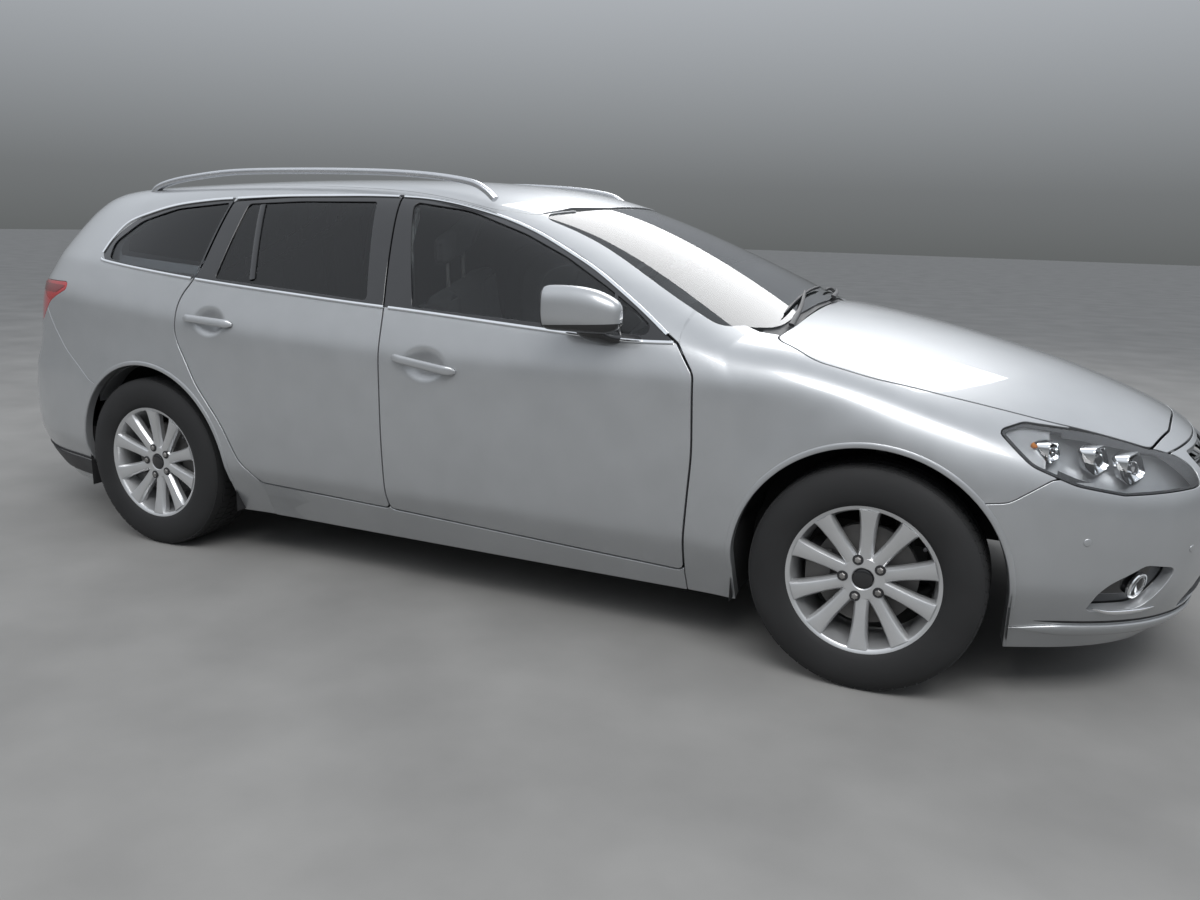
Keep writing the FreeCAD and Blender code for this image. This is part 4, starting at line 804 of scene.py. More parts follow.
@dataclass(frozen=True)
class Finish:
    """A surface finish, with the value of each of its shader's sockets."""

    name: str
    color: tuple[float, float, float]
    metallic: float = 0.0
    roughness: float = 0.5
    coat: float = 0.0
    coat_roughness: float = 0.03
    transmission: float = 0.0
    grain: float = 0.04
    grain_scale: float = 700.0
    grain_height: float = 0.001
    tint: float = 0.08
    wear: float = 0.05
    patch_scale: float = 9.0

    @staticmethod
    def noise(tree: bpy.types.NodeTree, scale: float, detail: float) -> bpy.types.NodeSocket:
        """A noise over the piece, from 0 to 1.

        Args:
            tree: the material's nodes.
            scale: of the noise.
            detail: of the noise.

        Returns:
            Its socket.
        """
        at = tree.nodes.new("ShaderNodeTexCoord")
        noise = tree.nodes.new("ShaderNodeTexNoise")
        noise.inputs["Scale"].default_value = scale
        noise.inputs["Detail"].default_value = detail
        tree.links.new(at.outputs["Object"], noise.inputs["Vector"])
        return noise.outputs["Fac"]

    @staticmethod
    def spread(tree: bpy.types.NodeTree, source: bpy.types.NodeSocket, low: float, high: float) -> bpy.types.NodeSocket:
        """A noise's middle range, spread from a low to a high value.

        Args:
            tree: the material's nodes.
            source: the noise.
            low: the low value.
            high: the high value.

        Returns:
            Its socket.
        """
        spread = tree.nodes.new("ShaderNodeMapRange")
        for socket, value in (("From Min", 0.3), ("From Max", 0.7), ("To Min", low), ("To Max", high)):
            spread.inputs[socket].default_value = value
        tree.links.new(source, spread.inputs["Value"])
        return spread.outputs["Result"]

    def make(self) -> bpy.types.Material:
        """The Blender material: constants on the shader's sockets, then varied by noise.

        Returns:
            The material.
        """
        made = bpy.data.materials.new(self.name)
        made.use_nodes = True
        made.diffuse_color = (*self.color, 1)
        tree = made.node_tree
        shader = tree.nodes["Principled BSDF"]
        constants = {"Base Color": (*self.color, 1), "Metallic": self.metallic, "Roughness": self.roughness,
                     "Coat Weight": self.coat, "Coat Roughness": self.coat_roughness,
                     "Transmission Weight": self.transmission}
        for socket, value in constants.items():
            shader.inputs[socket].default_value = value
        patches = self.noise(tree, self.patch_scale, 5)
        if self.tint:
            shade = tree.nodes.new("ShaderNodeHueSaturation")
            shade.inputs["Color"].default_value = (*self.color, 1)
            tree.links.new(self.spread(tree, patches, 1 - self.tint, 1 + self.tint), shade.inputs["Value"])
            tree.links.new(shade.outputs["Color"], shader.inputs["Base Color"])
        if self.wear:
            low, high = max(0.0, self.roughness - self.wear / 2), min(1.0, self.roughness + self.wear)
            tree.links.new(self.spread(tree, patches, low, high), shader.inputs["Roughness"])
        if self.grain:
            bump = tree.nodes.new("ShaderNodeBump")
            bump.inputs["Strength"].default_value = self.grain
            bump.inputs["Distance"].default_value = self.grain_height
            tree.links.new(self.noise(tree, self.grain_scale, 3), bump.inputs["Height"])
            tree.links.new(bump.outputs["Normal"], shader.inputs["Normal"])
        return made


class Finishes:
    """Every finish on the wagon, by the record's slot or by its own name."""

    ALL = (
        Finish("paint", (0.40, 0.41, 0.42), metallic=0.6, roughness=0.34, coat=1.0, grain=0.015, grain_scale=1800,
               tint=0.03, wear=0.03),
        Finish("glass", (0.55, 0.6, 0.6), roughness=0.0, transmission=1.0, grain=0, tint=0.02, wear=0, patch_scale=3),
        Finish("dark_glass", (0.10, 0.11, 0.12), roughness=0.0, transmission=1.0, grain=0, tint=0.02, wear=0,
               patch_scale=3),
        Finish("clear_lens", (0.95, 0.96, 0.97), roughness=0.0, transmission=1.0, grain=0, tint=0.01, wear=0),
        Finish("red_lens", (0.42, 0.004, 0.008), roughness=0.05, transmission=0.15, coat=0.8, grain=0.02, wear=0.02),
        Finish("tyre", (0.012, 0.012, 0.0125), roughness=0.75, grain=0.2, grain_scale=900, tint=0.25, wear=0.1),
        Finish("alloy", (0.60, 0.605, 0.61), metallic=0.75, roughness=0.3, coat=0.4, grain=0.03, tint=0.04),
        Finish("rail", (0.62, 0.63, 0.65), metallic=0.9, roughness=0.25, grain=0.03, grain_scale=1200, tint=0.04),
        Finish("body_steel", (0.36, 0.37, 0.38), metallic=0.6, roughness=0.36, coat=0.6),
        Finish("chassis_steel", (0.03, 0.03, 0.032), roughness=0.6, grain=0.25, grain_scale=350, tint=0.3, wear=0.15),
        Finish("bare_steel", (0.32, 0.31, 0.30), metallic=0.9, roughness=0.42, grain=0.12, tint=0.15, wear=0.15),
        Finish("cast", (0.16, 0.155, 0.15), metallic=0.6, roughness=0.6, grain=0.4, grain_scale=600, tint=0.15),
        Finish("black_plastic", (0.025, 0.025, 0.027), roughness=0.48, grain=0.14, grain_scale=900, tint=0.15,
               wear=0.08),
        Finish("bright_trim", (0.86, 0.87, 0.88), metallic=1.0, roughness=0.08, grain=0, tint=0.02, wear=0.05),
        Finish("liner", (0.018, 0.018, 0.019), roughness=0.85, grain=0.3, grain_scale=450, tint=0.25, wear=0.1),
        Finish("cloth", (0.035, 0.035, 0.038), roughness=0.9, grain=0.5, grain_scale=1500, tint=0.2, patch_scale=300),
        Finish("gloss_black", (0.012, 0.012, 0.013), roughness=0.08, coat=0.6, grain=0, tint=0.1, wear=0.03),
        Finish("headlining", (0.42, 0.41, 0.39), roughness=0.95, grain=0.3, grain_scale=1200, patch_scale=150),
        Finish("chrome", (0.88, 0.89, 0.9), metallic=1.0, roughness=0.06, grain=0, tint=0.02, wear=0.04),
        Finish("amber", (0.95, 0.32, 0.02), roughness=0.2, transmission=0.4, grain=0.05),
        Finish("lamp_grey", (0.40, 0.41, 0.42), metallic=0.5, roughness=0.35, grain=0.05),
        Finish("dark_red", (0.16, 0.008, 0.01), roughness=0.08, coat=0.6, grain=0.02, wear=0.02),
    )

    def __init__(self) -> None:
        """Makes every finish's material."""
        self._made = {finish.name: finish.make() for finish in self.ALL}

    def __getitem__(self, name: str) -> bpy.types.Material:
        """The material of a finish's name."""
        return self._made[name]


def smooth_line(points: Sequence[Sequence[float]], step: float = 8.0, closed: bool = False) -> Array:
    """A smooth curve through points, with points at an even step along it.

    Args:
        points: rows to pass through.
        step: distance between points.
        closed: whether its end meets its start.

    Returns:
        The curve's points.
    """
    p = np.array(points, float)
    if closed:
        p = np.vstack((p[-1:], p, p[:2]))
    else:
        p = np.vstack((2 * p[0] - p[1], p, 2 * p[-1] - p[-2]))
    t = np.linspace(0, 1, 17)[:-1, None]
    runs = []
    for a, b, c, d in zip(p, p[1:], p[2:], p[3:]):
        bend = (2 * a - 5 * b + 4 * c - d) * t * t + (3 * b - a - 3 * c + d) * t ** 3
        runs.append(0.5 * (2 * b + (c - a) * t + bend))
    dense = np.vstack(runs + [p[-2][None]])
    along = np.concatenate(([0], np.cumsum(np.linalg.norm(np.diff(dense, axis=0), axis=1))))
    at = np.linspace(0, along[-1], max(2, int(along[-1] / step) + 1))
    return np.stack([np.interp(at, along, dense[:, k]) for k in range(dense.shape[1])], 1)


def unit(vectors: Array) -> Array:
    """Vectors at length one."""
    return vectors / np.maximum(np.linalg.norm(vectors, axis=-1, keepdims=True), 1e-9)


def normals_at(inside: Field, points: Array) -> Array:
    """The form's outward normals at points on its surface."""
    steps = np.eye(3) * 2.0
    return unit(-np.stack([inside(points + e) - inside(points - e) for e in steps], 1))


class View(Enum):
    """Where a path is drawn from: the ray towards the surface and the drawn axes."""

    SIDE = ((0.0, -1.0, 0.0), (0, 2), (0.0, 0.0, 0.0))
    NOSE = ((1.0, 0.0, 0.0), (1, 2), (900.0, 0.0, 0.0))
    TAIL = ((-1.0, 0.0, 0.0), (1, 2), (-700.0, 0.0, 0.0))
    TOP = ((0.0, 0.0, 1.0), (0, 1), (0.0, 0.0, 700.0))


def on_form(path: Array, view: View, inside: Field, lift: float | Array = 0.0) -> tuple[Array, Array]:
    """Drawn points taken to the surface.

    Args:
        path: two columns, as seen in the view.
        view: the direction they are drawn from.
        inside: the form's field.
        lift: height over the surface, one for all or one each.

    Returns:
        The points and the surface's normals.
    """
    ray, axes, origin = view.value
    start = np.tile(np.array(origin), (len(path), 1))
    start[:, axes[0]] = path[:, 0]
    start[:, axes[1]] = path[:, 1]
    found = BODY.surface(inside, start, np.tile(ray, (len(path), 1)), 2000)
    normals = normals_at(inside, found)
    return found + normals * np.broadcast_to(np.asarray(lift, float), (len(path),))[:, None], normals


def oval(width: float, height: float, count: int = 20, power: float = 2.4) -> Array:
    """A closed section, from a rounded box to an ellipse. Columns: across, out.

    Args:
        width: across.
        height: outwards.
        count: number of its points.
        power: 2 for an ellipse, more for a box.

    Returns:
        The section's points.
    """
    turn = np.linspace(0, 2 * math.pi, count, endpoint=False)
    c, s = np.cos(turn), np.sin(turn)
    return np.stack((np.sign(c) * np.abs(c) ** (2 / power) * width / 2,
                     np.sign(s) * np.abs(s) ** (2 / power) * height / 2), 1)


class Shape:
    """Points in mm and faces gathered from simple forms, before they become an object."""

    def __init__(self) -> None:
        """Starts empty."""
        self.points: list[Array] = []
        self.faces: list[tuple[int, ...]] = []
        self.count = 0

    def add(self, points: Array, faces: Iterable[Sequence[int]]) -> "Shape":
        """Adds a form.

        Args:
            points: rows of x, y and z.
            faces: rows of point numbers.

        Returns:
            The shape itself.
        """
        points = np.asarray(points, float).reshape(-1, 3)
        self.faces += [tuple(int(i) + self.count for i in face) for face in faces]
        self.points.append(points)
        self.count += len(points)
        return self

    def loft(self, rings: Array, caps: bool = True, closed: bool = True, ring: bool = False) -> "Shape":
        """Faces between rings of equal count; ring joins the last to the first.

        Args:
            rings: rows of points.
            caps: whether both ends are closed.
            closed: whether each row's end meets its start.
            ring: whether the last row meets the first.

        Returns:
            The shape itself.
        """
        rings = np.asarray(rings, float)
        rows, columns = rings.shape[:2]
        faces = []
        for i in range(rows if ring else rows - 1):
            n = (i + 1) % rows
            for j in range(columns if closed else columns - 1):
                k = (j + 1) % columns
                faces.append((i * columns + j, i * columns + k, n * columns + k, n * columns + j))
        if caps and closed and not ring:
            faces.append(tuple(reversed(range(columns))))
            faces.append(tuple(range((rows - 1) * columns, rows * columns)))
        return self.add(rings, faces)

    def sweep(self, path: Array, normals: Array, section: Array, taper: Array | None = None,
              ring: bool = False) -> "Shape":
        """A section carried along a path; taper scales it there. Section columns: across, out.

        Args:
            path: its middle line.
            normals: outward directions along it.
            section: columns across and out.
            taper: the section's share of its size along the path.
            ring: whether the last row meets the first.

        Returns:
            The shape itself.
        """
        path = np.asarray(path, float)
        if ring:
            tangent = unit(np.roll(path, -1, axis=0) - np.roll(path, 1, axis=0))
        else:
            tangent = unit(np.gradient(path, axis=0))
        across = unit(np.cross(normals, tangent))
        size = np.ones(len(path)) if taper is None else np.asarray(taper, float)
        rings = (path[:, None] + section[None, :, :1] * across[:, None] * size[:, None, None]
                 + section[None, :, 1:] * np.asarray(normals)[:, None] * size[:, None, None])
        return self.loft(rings, ring=ring)

    def lathe(self, profile: Sequence[tuple[float, float]], count: int = 48, closed: bool = False) -> "Shape":
        """A form turned about the local Y axis. Columns: y, radius.

        Args:
            profile: columns y and radius.
            count: number of points round it.
            closed: whether the profile's end meets its start.

        Returns:
            The shape itself.
        """
        turn = np.linspace(0, 2 * math.pi, count, endpoint=False)
        p = np.array(profile, float)
        rings = np.stack((np.outer(p[:, 1], np.sin(turn)), np.repeat(p[:, :1], count, 1),
                          np.outer(p[:, 1], np.cos(turn))), -1)
        base = self.count
        self.loft(rings, caps=False, ring=closed)
        if not closed:
            for row, order in ((0, -1), (len(p) - 1, 1)):
                if p[row, 1] < 1.0:
                    self.faces.append(tuple(base + row * count + k for k in range(count))[::order])
        return self

    def block(self, low: Sequence[float], high: Sequence[float]) -> "Shape":
        """A box between two corners.

        Args:
            low: its least x, y and z.
            high: its greatest x, y and z.

        Returns:
            The shape itself.
        """
        (a, b, c), (d, e, f) = low, high
        corners = [(x, y, z) for z in (c, f) for y in (b, e) for x in (a, d)]
        return self.add(corners, ((0, 2, 3, 1), (4, 5, 7, 6), (0, 1, 5, 4), (1, 3, 7, 5), (3, 2, 6, 7), (2, 0, 4, 6)))

    def turned(self, matrix: Array, shift: Sequence[float] = (0, 0, 0)) -> "Shape":
        """The same, turned by a 3 by 3 matrix and moved.

        Args:
            matrix: 3 by 3.
            shift: added after the turn.

        Returns:
            A new shape.
        """
        out = Shape()
        out.points = [p @ np.asarray(matrix, float).T + np.asarray(shift, float) for p in self.points]
        out.faces = list(self.faces)
        if np.linalg.det(matrix) < 0:
            out.faces = [tuple(reversed(face)) for face in out.faces]
        out.count = self.count
        return out

    def with_mirror(self) -> "Shape":
        """The same with its mirror image."""
        return Shape().join(self).join(self.mirrored())

    def mirrored(self) -> "Shape":
        """The same on the wagon's left."""
        return self.turned(np.diag((1.0, -1.0, 1.0)))

    def join(self, other: "Shape") -> "Shape":
        """Adds another shape's forms.

        Args:
            other: the shape.

        Returns:
            The shape itself.
        """
        if other.count:
            self.add(np.vstack(other.points), other.faces)
        return self

    def build(self, name: str, finish: bpy.types.Material, sharp: float = 32.0,
              bevel: float = 0.0) -> bpy.types.Object:
        """A Blender object, smooth except across sharp edges.

        Args:
            name: of the object.
            finish: its material.
            sharp: edges that turn by more degrees than this stay crisp.
            bevel: width in mm of a rounding over crisp edges.

        Returns:
            The object.
        """
        mesh = bpy.data.meshes.new(name)
        mesh.from_pydata((np.vstack(self.points) / 1000).tolist(), [], self.faces)
        mesh.validate()
        work = bmesh.new()
        work.from_mesh(mesh)
        bmesh.ops.recalc_face_normals(work, faces=work.faces)
        if bevel:
            edges = [e for e in work.edges if len(e.link_faces) == 2
                     and e.calc_face_angle(0) > math.radians(sharp)]
            bmesh.ops.bevel(work, geom=edges, offset=bevel / 1000, segments=2, profile=0.7,
                            affect="EDGES", clamp_overlap=True)
        work.to_mesh(mesh)
        work.free()
        mesh.polygons.foreach_set("use_smooth", [True] * len(mesh.polygons))
        mesh.set_sharp_from_angle(angle=math.radians(sharp))
        mesh.materials.append(finish)
        piece = bpy.data.objects.new(name, mesh)
        bpy.context.scene.collection.objects.link(piece)
        return piece


def facing(normal: Array) -> Array:
    """A turn that takes the local -Y axis to a direction and keeps local Z near up.

    Args:
        normal: the direction.

    Returns:
        The 3 by 3 turn.
    """
    out = unit(np.asarray(normal, float))
    side = unit(np.cross((0.0, 0.0, 1.0), out))
    return np.stack((side, -out, np.cross(out, side)), 1)


def around(inside: Field, centre_x: float, angles: Array, heights: Array | float,
           lift: float = 0.0) -> tuple[Array, Array]:
    """Points on one end of the body at angles about its upright axis, with normals.

    Args:
        inside: the form's field.
        centre_x: the axis's place.
        angles: degrees about it, from straight ahead.
        heights: one for all or one each.
        lift: height over the surface.

    Returns:
        The points and the surface's normals.
    """
    turn = np.radians(angles)
    z = np.broadcast_to(np.asarray(heights, float), turn.shape)
    start = np.stack((np.full_like(turn, centre_x), np.zeros_like(turn), z), 1)
    found = BODY.surface(inside, start, np.stack((np.cos(turn), np.sin(turn), 0 * turn), 1), 2000)
    normals = normals_at(inside, found)
    return found + normals * lift, normals


def dots(spots: Iterable[tuple[float, float]], view: View, inside: Field,
         profile: Sequence[tuple[float, float]], count: int = 28) -> Shape:
    """The same small round form at several places on the body.

    Args:
        spots: places as drawn.
        view: the direction they are drawn from.
        inside: the form's field.
        profile: columns y and radius.
        count: number of points round it.

    Returns:
        One shape of them all.
    """
    shape = Shape()
    points, normals = on_form(np.array(list(spots), float), view, inside)
    for point, normal in zip(points, normals):
        shape.join(Shape().lathe(profile, count).turned(facing(normal), point))
    return shape


def place(piece: bpy.types.Object, body: str, slot: str, *nodes: str) -> None:
    """Puts a finished piece on its body and reports it.

    Args:
        piece: the object.
        body: the body it rides on.
        slot: the material slot it shows.
        nodes: the CAD nodes it stands for.
    """
    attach(piece, body)
    if nodes:
        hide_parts(*nodes)
    log.info("%s on %s as %s", piece.name, body, slot)


class Side(Enum):
    """A side of the wagon; forms are drawn for its right."""

    RIGHT = "right"
    LEFT = "left"

    def of(self, form: Sheet | Shape) -> Sheet | Shape:
        """The form itself on the right, its mirror image on the left."""
        return form if self is Side.RIGHT else form.mirrored()


@dataclass
class Maker:
    """What the maker of every sub-assembly has: the finishes, and ways to put a form on its body."""

    finishes: Finishes

    def put(self, form: Sheet | Shape, name: str, finish: str, body: str = "shell", slot: str = "", *nodes: str,
            **edges: float) -> None:
        """Builds one piece and puts it on its body.

        Args:
            form: its points and faces.
            name: of the piece.
            finish: the name of its finish.
            body: the body it rides on.
            slot: the material slot it shows, its finish's name where none is given.
            nodes: the CAD nodes it stands for.
            edges: a shape's own sharp angle or bevel width.
        """
        place(form.build(name, self.finishes[finish], **edges), body, slot or finish, *nodes)

    def pair(self, form: Sheet | Shape, name: str, finish: str, body: str = "shell", slot: str = "", node: str = "",
             **edges: float) -> None:
        """Builds a right piece and its mirror image.

        Args:
            form: the right one's points and faces.
            name: of the pieces, before their side.
            finish: the name of their finish.
            body: the body, with %s where it has a side's name.
            slot: the material slot they show, their finish's name where none is given.
            node: the CAD node for both, or with %s for each.
            edges: a shape's own sharp angle or bevel width.
        """
        for side in Side:
            own = "%s" in node or (node and side is Side.RIGHT)
            self.put(side.of(form), f"{name}_{side.value}", finish, body.replace("%s", side.value), slot,
                     *((node.replace("%s", side.value),) if own else ()), **edges)

    def both(self, shape: Shape, name: str, finish: str, slot: str, body: str = "shell", **edges: float) -> None:
        """Builds a shape and its mirror image as one piece.

        Args:
            shape: the right half.
            name: of the piece.
            finish: the name of its finish.
            slot: the material slot it shows.
            body: the body it rides on.
            edges: its own sharp angle or bevel width.
        """
        self.put(shape.with_mirror(), name, finish, body, slot, **edges)


def under_belt(p: Array) -> Array:
    """How far points lie under the bright line of the side windows."""
    return belt_height(p[:, 0]) - p[:, 2]


@dataclass
class Skins(Maker):
    """The painted panels and the glass."""

    gap: float = 5.0
    edge: float = 2.2
    flange: float = 30.0
    bonnet_flange: float = 22.0
    roof_flange: float = 26.0
    pillar_flange: float = 12.0
    sill_flange: float = 8.0
    roof_gap: float = 1.5
    pane_depth: float = 5.0
    pane_overlap: float = 3.0
    card_depth: float = 58.0
    card_margin: float = 24.0
    lens_margin: float = 2.5
    sill_foot_z: float = 181.0
    sill_stand: float = 1.2
    nose_axis_x: float = 900.0
    tail_axis_x: float = -700.0
    bumper_front_x: float = 1437.0
    bumper_rear_x: float = -1502.0
    quarter_x: float = -1015.0
    gate_x: float = -1850.0
    # Hollows behind the door handles: x, z, half width, half height.
    cup_front: tuple[float, float, float, float] = (-24, 833, 88, 58)
    cup_rear: tuple[float, float, float, float] = (-968, 912, 78, 54)

    def __post_init__(self) -> None:
        """Wraps base sheets round the body's ends and over the roof's edge."""
        self.bonnet, self.screen, self.roof_line = (
            mirrored_outline(line, 1) for line in (CUTS.bonnet, CUTS.screen, CUTS.roof))
        self.gate = mirrored_outline(CUTS.tailgate, 0)
        nose_angles = np.arange(-93.5, 0.01, 0.5)
        nose_angles[-1] = 0.0
        self.nose = Grids.wrap(BODY.whole, self.nose_axis_x, nose_angles, np.arange(160, 641, 10.0),
                               np.arange(2, 86, 2.0))
        tail_angles = np.append(np.arange(-86.5, -180, -0.5), -180.0)
        self.tail = Grids.wrap(BODY.upper, self.tail_axis_x, tail_angles, np.arange(160, 1271, 11.0),
                               np.arange(2, 78, 2.0))
        self.rail = Grids.rail((self.quarter_x, 1012.0))
        self.back = self.tail.cut(beyond(0, self.gate_x, -1.0))
        self.head_lamp = all_of(within(CUTS.headlamp_side), within(CUTS.headlamp_front, Plane.FRONT))
        self.tail_lamp = all_of(within(CUTS.tail_lamp_side), beyond(1, CUTS.tail_lamp_end_y, -1.0))
        self.lens = self.nose.cut(self.off(self.bonnet, Plane.TOP), grown(self.head_lamp, -self.lens_margin))

    def off(self, outline: Outline, plane: Plane = Plane.SIDE, spare: float = 0.0) -> Field:
        """Positive outside an outline, with room for a rolled edge."""
        return outside(outline, plane, self.edge + spare)

    def panel(self, sheet: Sheet, name: str, depth: float, *where: str, skip: Field | None = None,
              finish: str = "paint") -> None:
        """Builds a panel with rolled edges.

        Args:
            sheet: its outer surface.
            name: of the piece.
            depth: of its flange.
            where: its body, slot and CAD nodes.
            skip: border points where this field is near zero stay open.
            finish: the name of its finish.
        """
        self.put(sheet.rolled(self.edge, depth, skip=skip), name, finish, *where)

    def build(self) -> None:
        """Makes every outer panel and window."""
        self.doors()
        self.front()
        self.top()
        self.side_outer()
        self.tail_end()

    def doors(self) -> None:
        """The doors' skins, window frames, inner cards and glass."""
        front = Grids.side((-335, 935), (235, 1400), 8.0, (self.cup_front,))
        rear = Grids.side((-1160, -185), (285, 1400), 8.0, (self.cup_rear,))
        for name, grid, outline, window, glass in (
                ("door_front", front, CUTS.front_door, CUTS.front_window, "glass"),
                ("door_rear", rear, CUTS.rear_door, CUTS.rear_window, "dark_glass")):
            skin = grid.cut(within(outline, Plane.SIDE, -self.gap - self.edge), self.off(window))
            lower, upper = skin.cut(under_belt), skin.cut(opposite(under_belt))
            card = grid.cut(within(outline, Plane.SIDE, -self.gap - self.card_margin), outside(window, Plane.SIDE, 6))
            card = card.shifted(self.card_depth)
            pane = grid.cut(within(window, Plane.SIDE, self.pane_overlap)).shifted(self.pane_depth)
            for side in Side:
                body = f"{name}_{side.value}"
                pane_node = body.replace("door", "glass")
                self.panel(side.of(lower), "skin_" + body, self.flange, body, "paint", body, skip=under_belt)
                self.panel(side.of(upper), "frame_" + body, self.flange, body, "black_plastic", skip=under_belt,
                           finish="gloss_black")
                self.put(side.of(card).flipped(), "card_" + body, "black_plastic", body)
                self.put(side.of(pane), "pane_" + pane_node, glass, body, glass, pane_node)

    def front(self) -> None:
        """The wings, the front bumper, the lamps' lenses and the bonnet."""
        off_lamp = grown(opposite(self.head_lamp), -self.edge)
        off_bonnet = self.off(self.bonnet, Plane.TOP)
        nose = self.nose.cut(off_bonnet, off_arch(FRONT_AXLE_X, self.edge), self.off(self.screen, Plane.TOP))
        wing = nose.cut(within(CUTS.wing, Plane.SIDE, -self.edge - 1), off_lamp,
                        lambda p: p[:, 2] - np.where(p[:, 0] < 1100, self.sill_foot_z, 0.0))
        bumper = nose.cut(beyond(0, self.bumper_front_x), self.off(CUTS.wing, Plane.SIDE, 1), off_lamp)
        for opening in (CUTS.grille, CUTS.lower_intake):
            bumper = bumper.cut(self.off(mirrored_outline(opening, 0), Plane.FRONT))
        bumper = bumper.cut(self.off(CUTS.fog_recess, Plane.FRONT))
        self.panel(wing, "skin_wing", self.flange, "shell", "paint", "wings")
        self.panel(wing.mirrored(), "skin_wing_left", self.flange, "shell", "paint")
        self.panel(bumper.whole(), "skin_bumper_front", self.flange, "shell", "paint", "bumper_front")
        self.pair(self.lens.shifted(2), "lens", "clear_lens", "shell", "clear_lens", "headlamps")
        bonnet = Grids.top(BODY.lower, 600, (1080, 2250), 850).cut(
            within(self.bonnet, Plane.TOP, -self.gap - self.edge))
        self.panel(bonnet.whole(), "skin_bonnet", self.bonnet_flange, "bonnet", "paint", "bonnet")

    def top(self) -> None:
        """The roof and the windscreen."""
        roof = Grids.top(BODY.upper, 900, (-2110, 380), 620).cut(
            within(self.roof_line, Plane.TOP, -self.roof_gap - self.edge), self.off(self.gate, Plane.FRONT))
        self.roof = roof.whole()
        self.panel(self.roof, "skin_roof", self.roof_flange, "shell", "paint", "roof")
        screen = Grids.top(BODY.upper, 900, (190, 1130), 790, 20).cut(within(self.screen, Plane.TOP, 4))
        self.put(screen.whole().shifted(self.pane_depth), "windscreen_pane", "glass", "shell", "glass", "windscreen")

    def side_outer(self) -> None:
        """The rear quarter with the roof's edge, the pillar and the sill."""
        seam = beyond(0, self.quarter_x)
        off_arch_rear = off_arch(REAR_AXLE_X, self.edge)
        off_doors = tuple(self.off(door) for door in (CUTS.front_door, CUTS.rear_door))
        off_wing = self.off(CUTS.wing, Plane.SIDE, 1)
        inside = within(CUTS.quarter, Plane.SIDE, -self.edge)
        quarter = self.tail.cut(inside, beyond(0, self.quarter_x, -1.0), self.off(CUTS.quarter_window),
                                off_arch_rear, grown(opposite(self.tail_lamp), -self.edge),
                                self.off(self.roof_line, Plane.TOP))
        behind = quarter.cut(beyond(0, self.gate_x, -1.0), self.off(self.gate, Plane.FRONT))
        quarter = quarter.cut(beyond(0, self.gate_x)).plus(behind)
        low = self.tail.cut(seam, inside, off_arch_rear, beyond(2, 900.0, -1.0), beyond(2, self.sill_foot_z))
        rail = self.rail.cut(*off_doors, self.off(self.roof_line, Plane.TOP), self.off(self.screen, Plane.TOP),
                             self.off(self.bonnet, Plane.TOP), off_wing,
                             lambda p: p[:, 2] - BODY.reading(BODY.belt_z, p[:, 0]) + 20)
        sill = Grids.side((-1010, 1052), (181, 420)).cut(*off_doors, off_wing, self.off(CUTS.quarter))
        ring = quarter.cut(within(CUTS.daylight))
        quarter = quarter.cut(outside(CUTS.daylight))
        for side in Side:
            nodes = ("quarters",) if side is Side.RIGHT else ()
            self.panel(side.of(quarter.plus(low)), "skin_quarter_" + side.value, self.flange, "shell", "paint", *nodes,
                       skip=seam)
            self.put(side.of(ring), "ring_quarter_" + side.value, "gloss_black", "shell", "black_plastic")
            self.panel(side.of(rail), "skin_rail_" + side.value, self.pillar_flange, "shell", "paint", skip=seam)
            self.panel(side.of(sill.shifted(-self.sill_stand)), "skin_sill_" + side.value, self.sill_flange, "shell",
                       "paint")
        pane = self.tail.cut(within(CUTS.quarter_window, Plane.SIDE, self.pane_overlap)).shifted(self.pane_depth)
        self.pair(pane, "pane_quarter", "dark_glass", "shell", "dark_glass", "quarter_glasses")

    def tail_end(self) -> None:
        """The tailgate, its glass, the tail lamps and the rear bumper."""
        window = mirrored_outline(CUTS.tailgate_glass, 0)
        panel = self.back.cut(within(self.gate, Plane.FRONT, -self.gap - self.edge), self.off(window, Plane.FRONT))
        self.panel(panel.whole(), "skin_tailgate", self.flange, "tailgate", "paint", "tailgate")
        pane = self.back.cut(within(window, Plane.FRONT, self.pane_overlap)).shifted(4)
        self.put(pane.whole(), "pane_tailgate", "dark_glass", "tailgate", "dark_glass", "tailgate_glass")
        bumper = self.tail.cut(beyond(0, self.bumper_rear_x, -1.0), self.off(CUTS.quarter, Plane.SIDE, 1),
                               self.off(self.gate, Plane.FRONT), off_arch(REAR_AXLE_X, self.edge),
                               grown(opposite(self.tail_lamp), -self.edge), beyond(2, 1100.0, -1.0))
        self.panel(bumper.whole(), "skin_bumper_rear", self.flange, "shell", "paint", "bumper_rear")
        lens = self.tail.cut(grown(self.tail_lamp, -3))
        for side in Side:
            nodes = ("tail_lamps",) if side is Side.RIGHT else ()
            self.panel(side.of(lens), "tail_lens_" + side.value, self.flange, "shell", "red_lens", *nodes,
                       finish="red_lens")


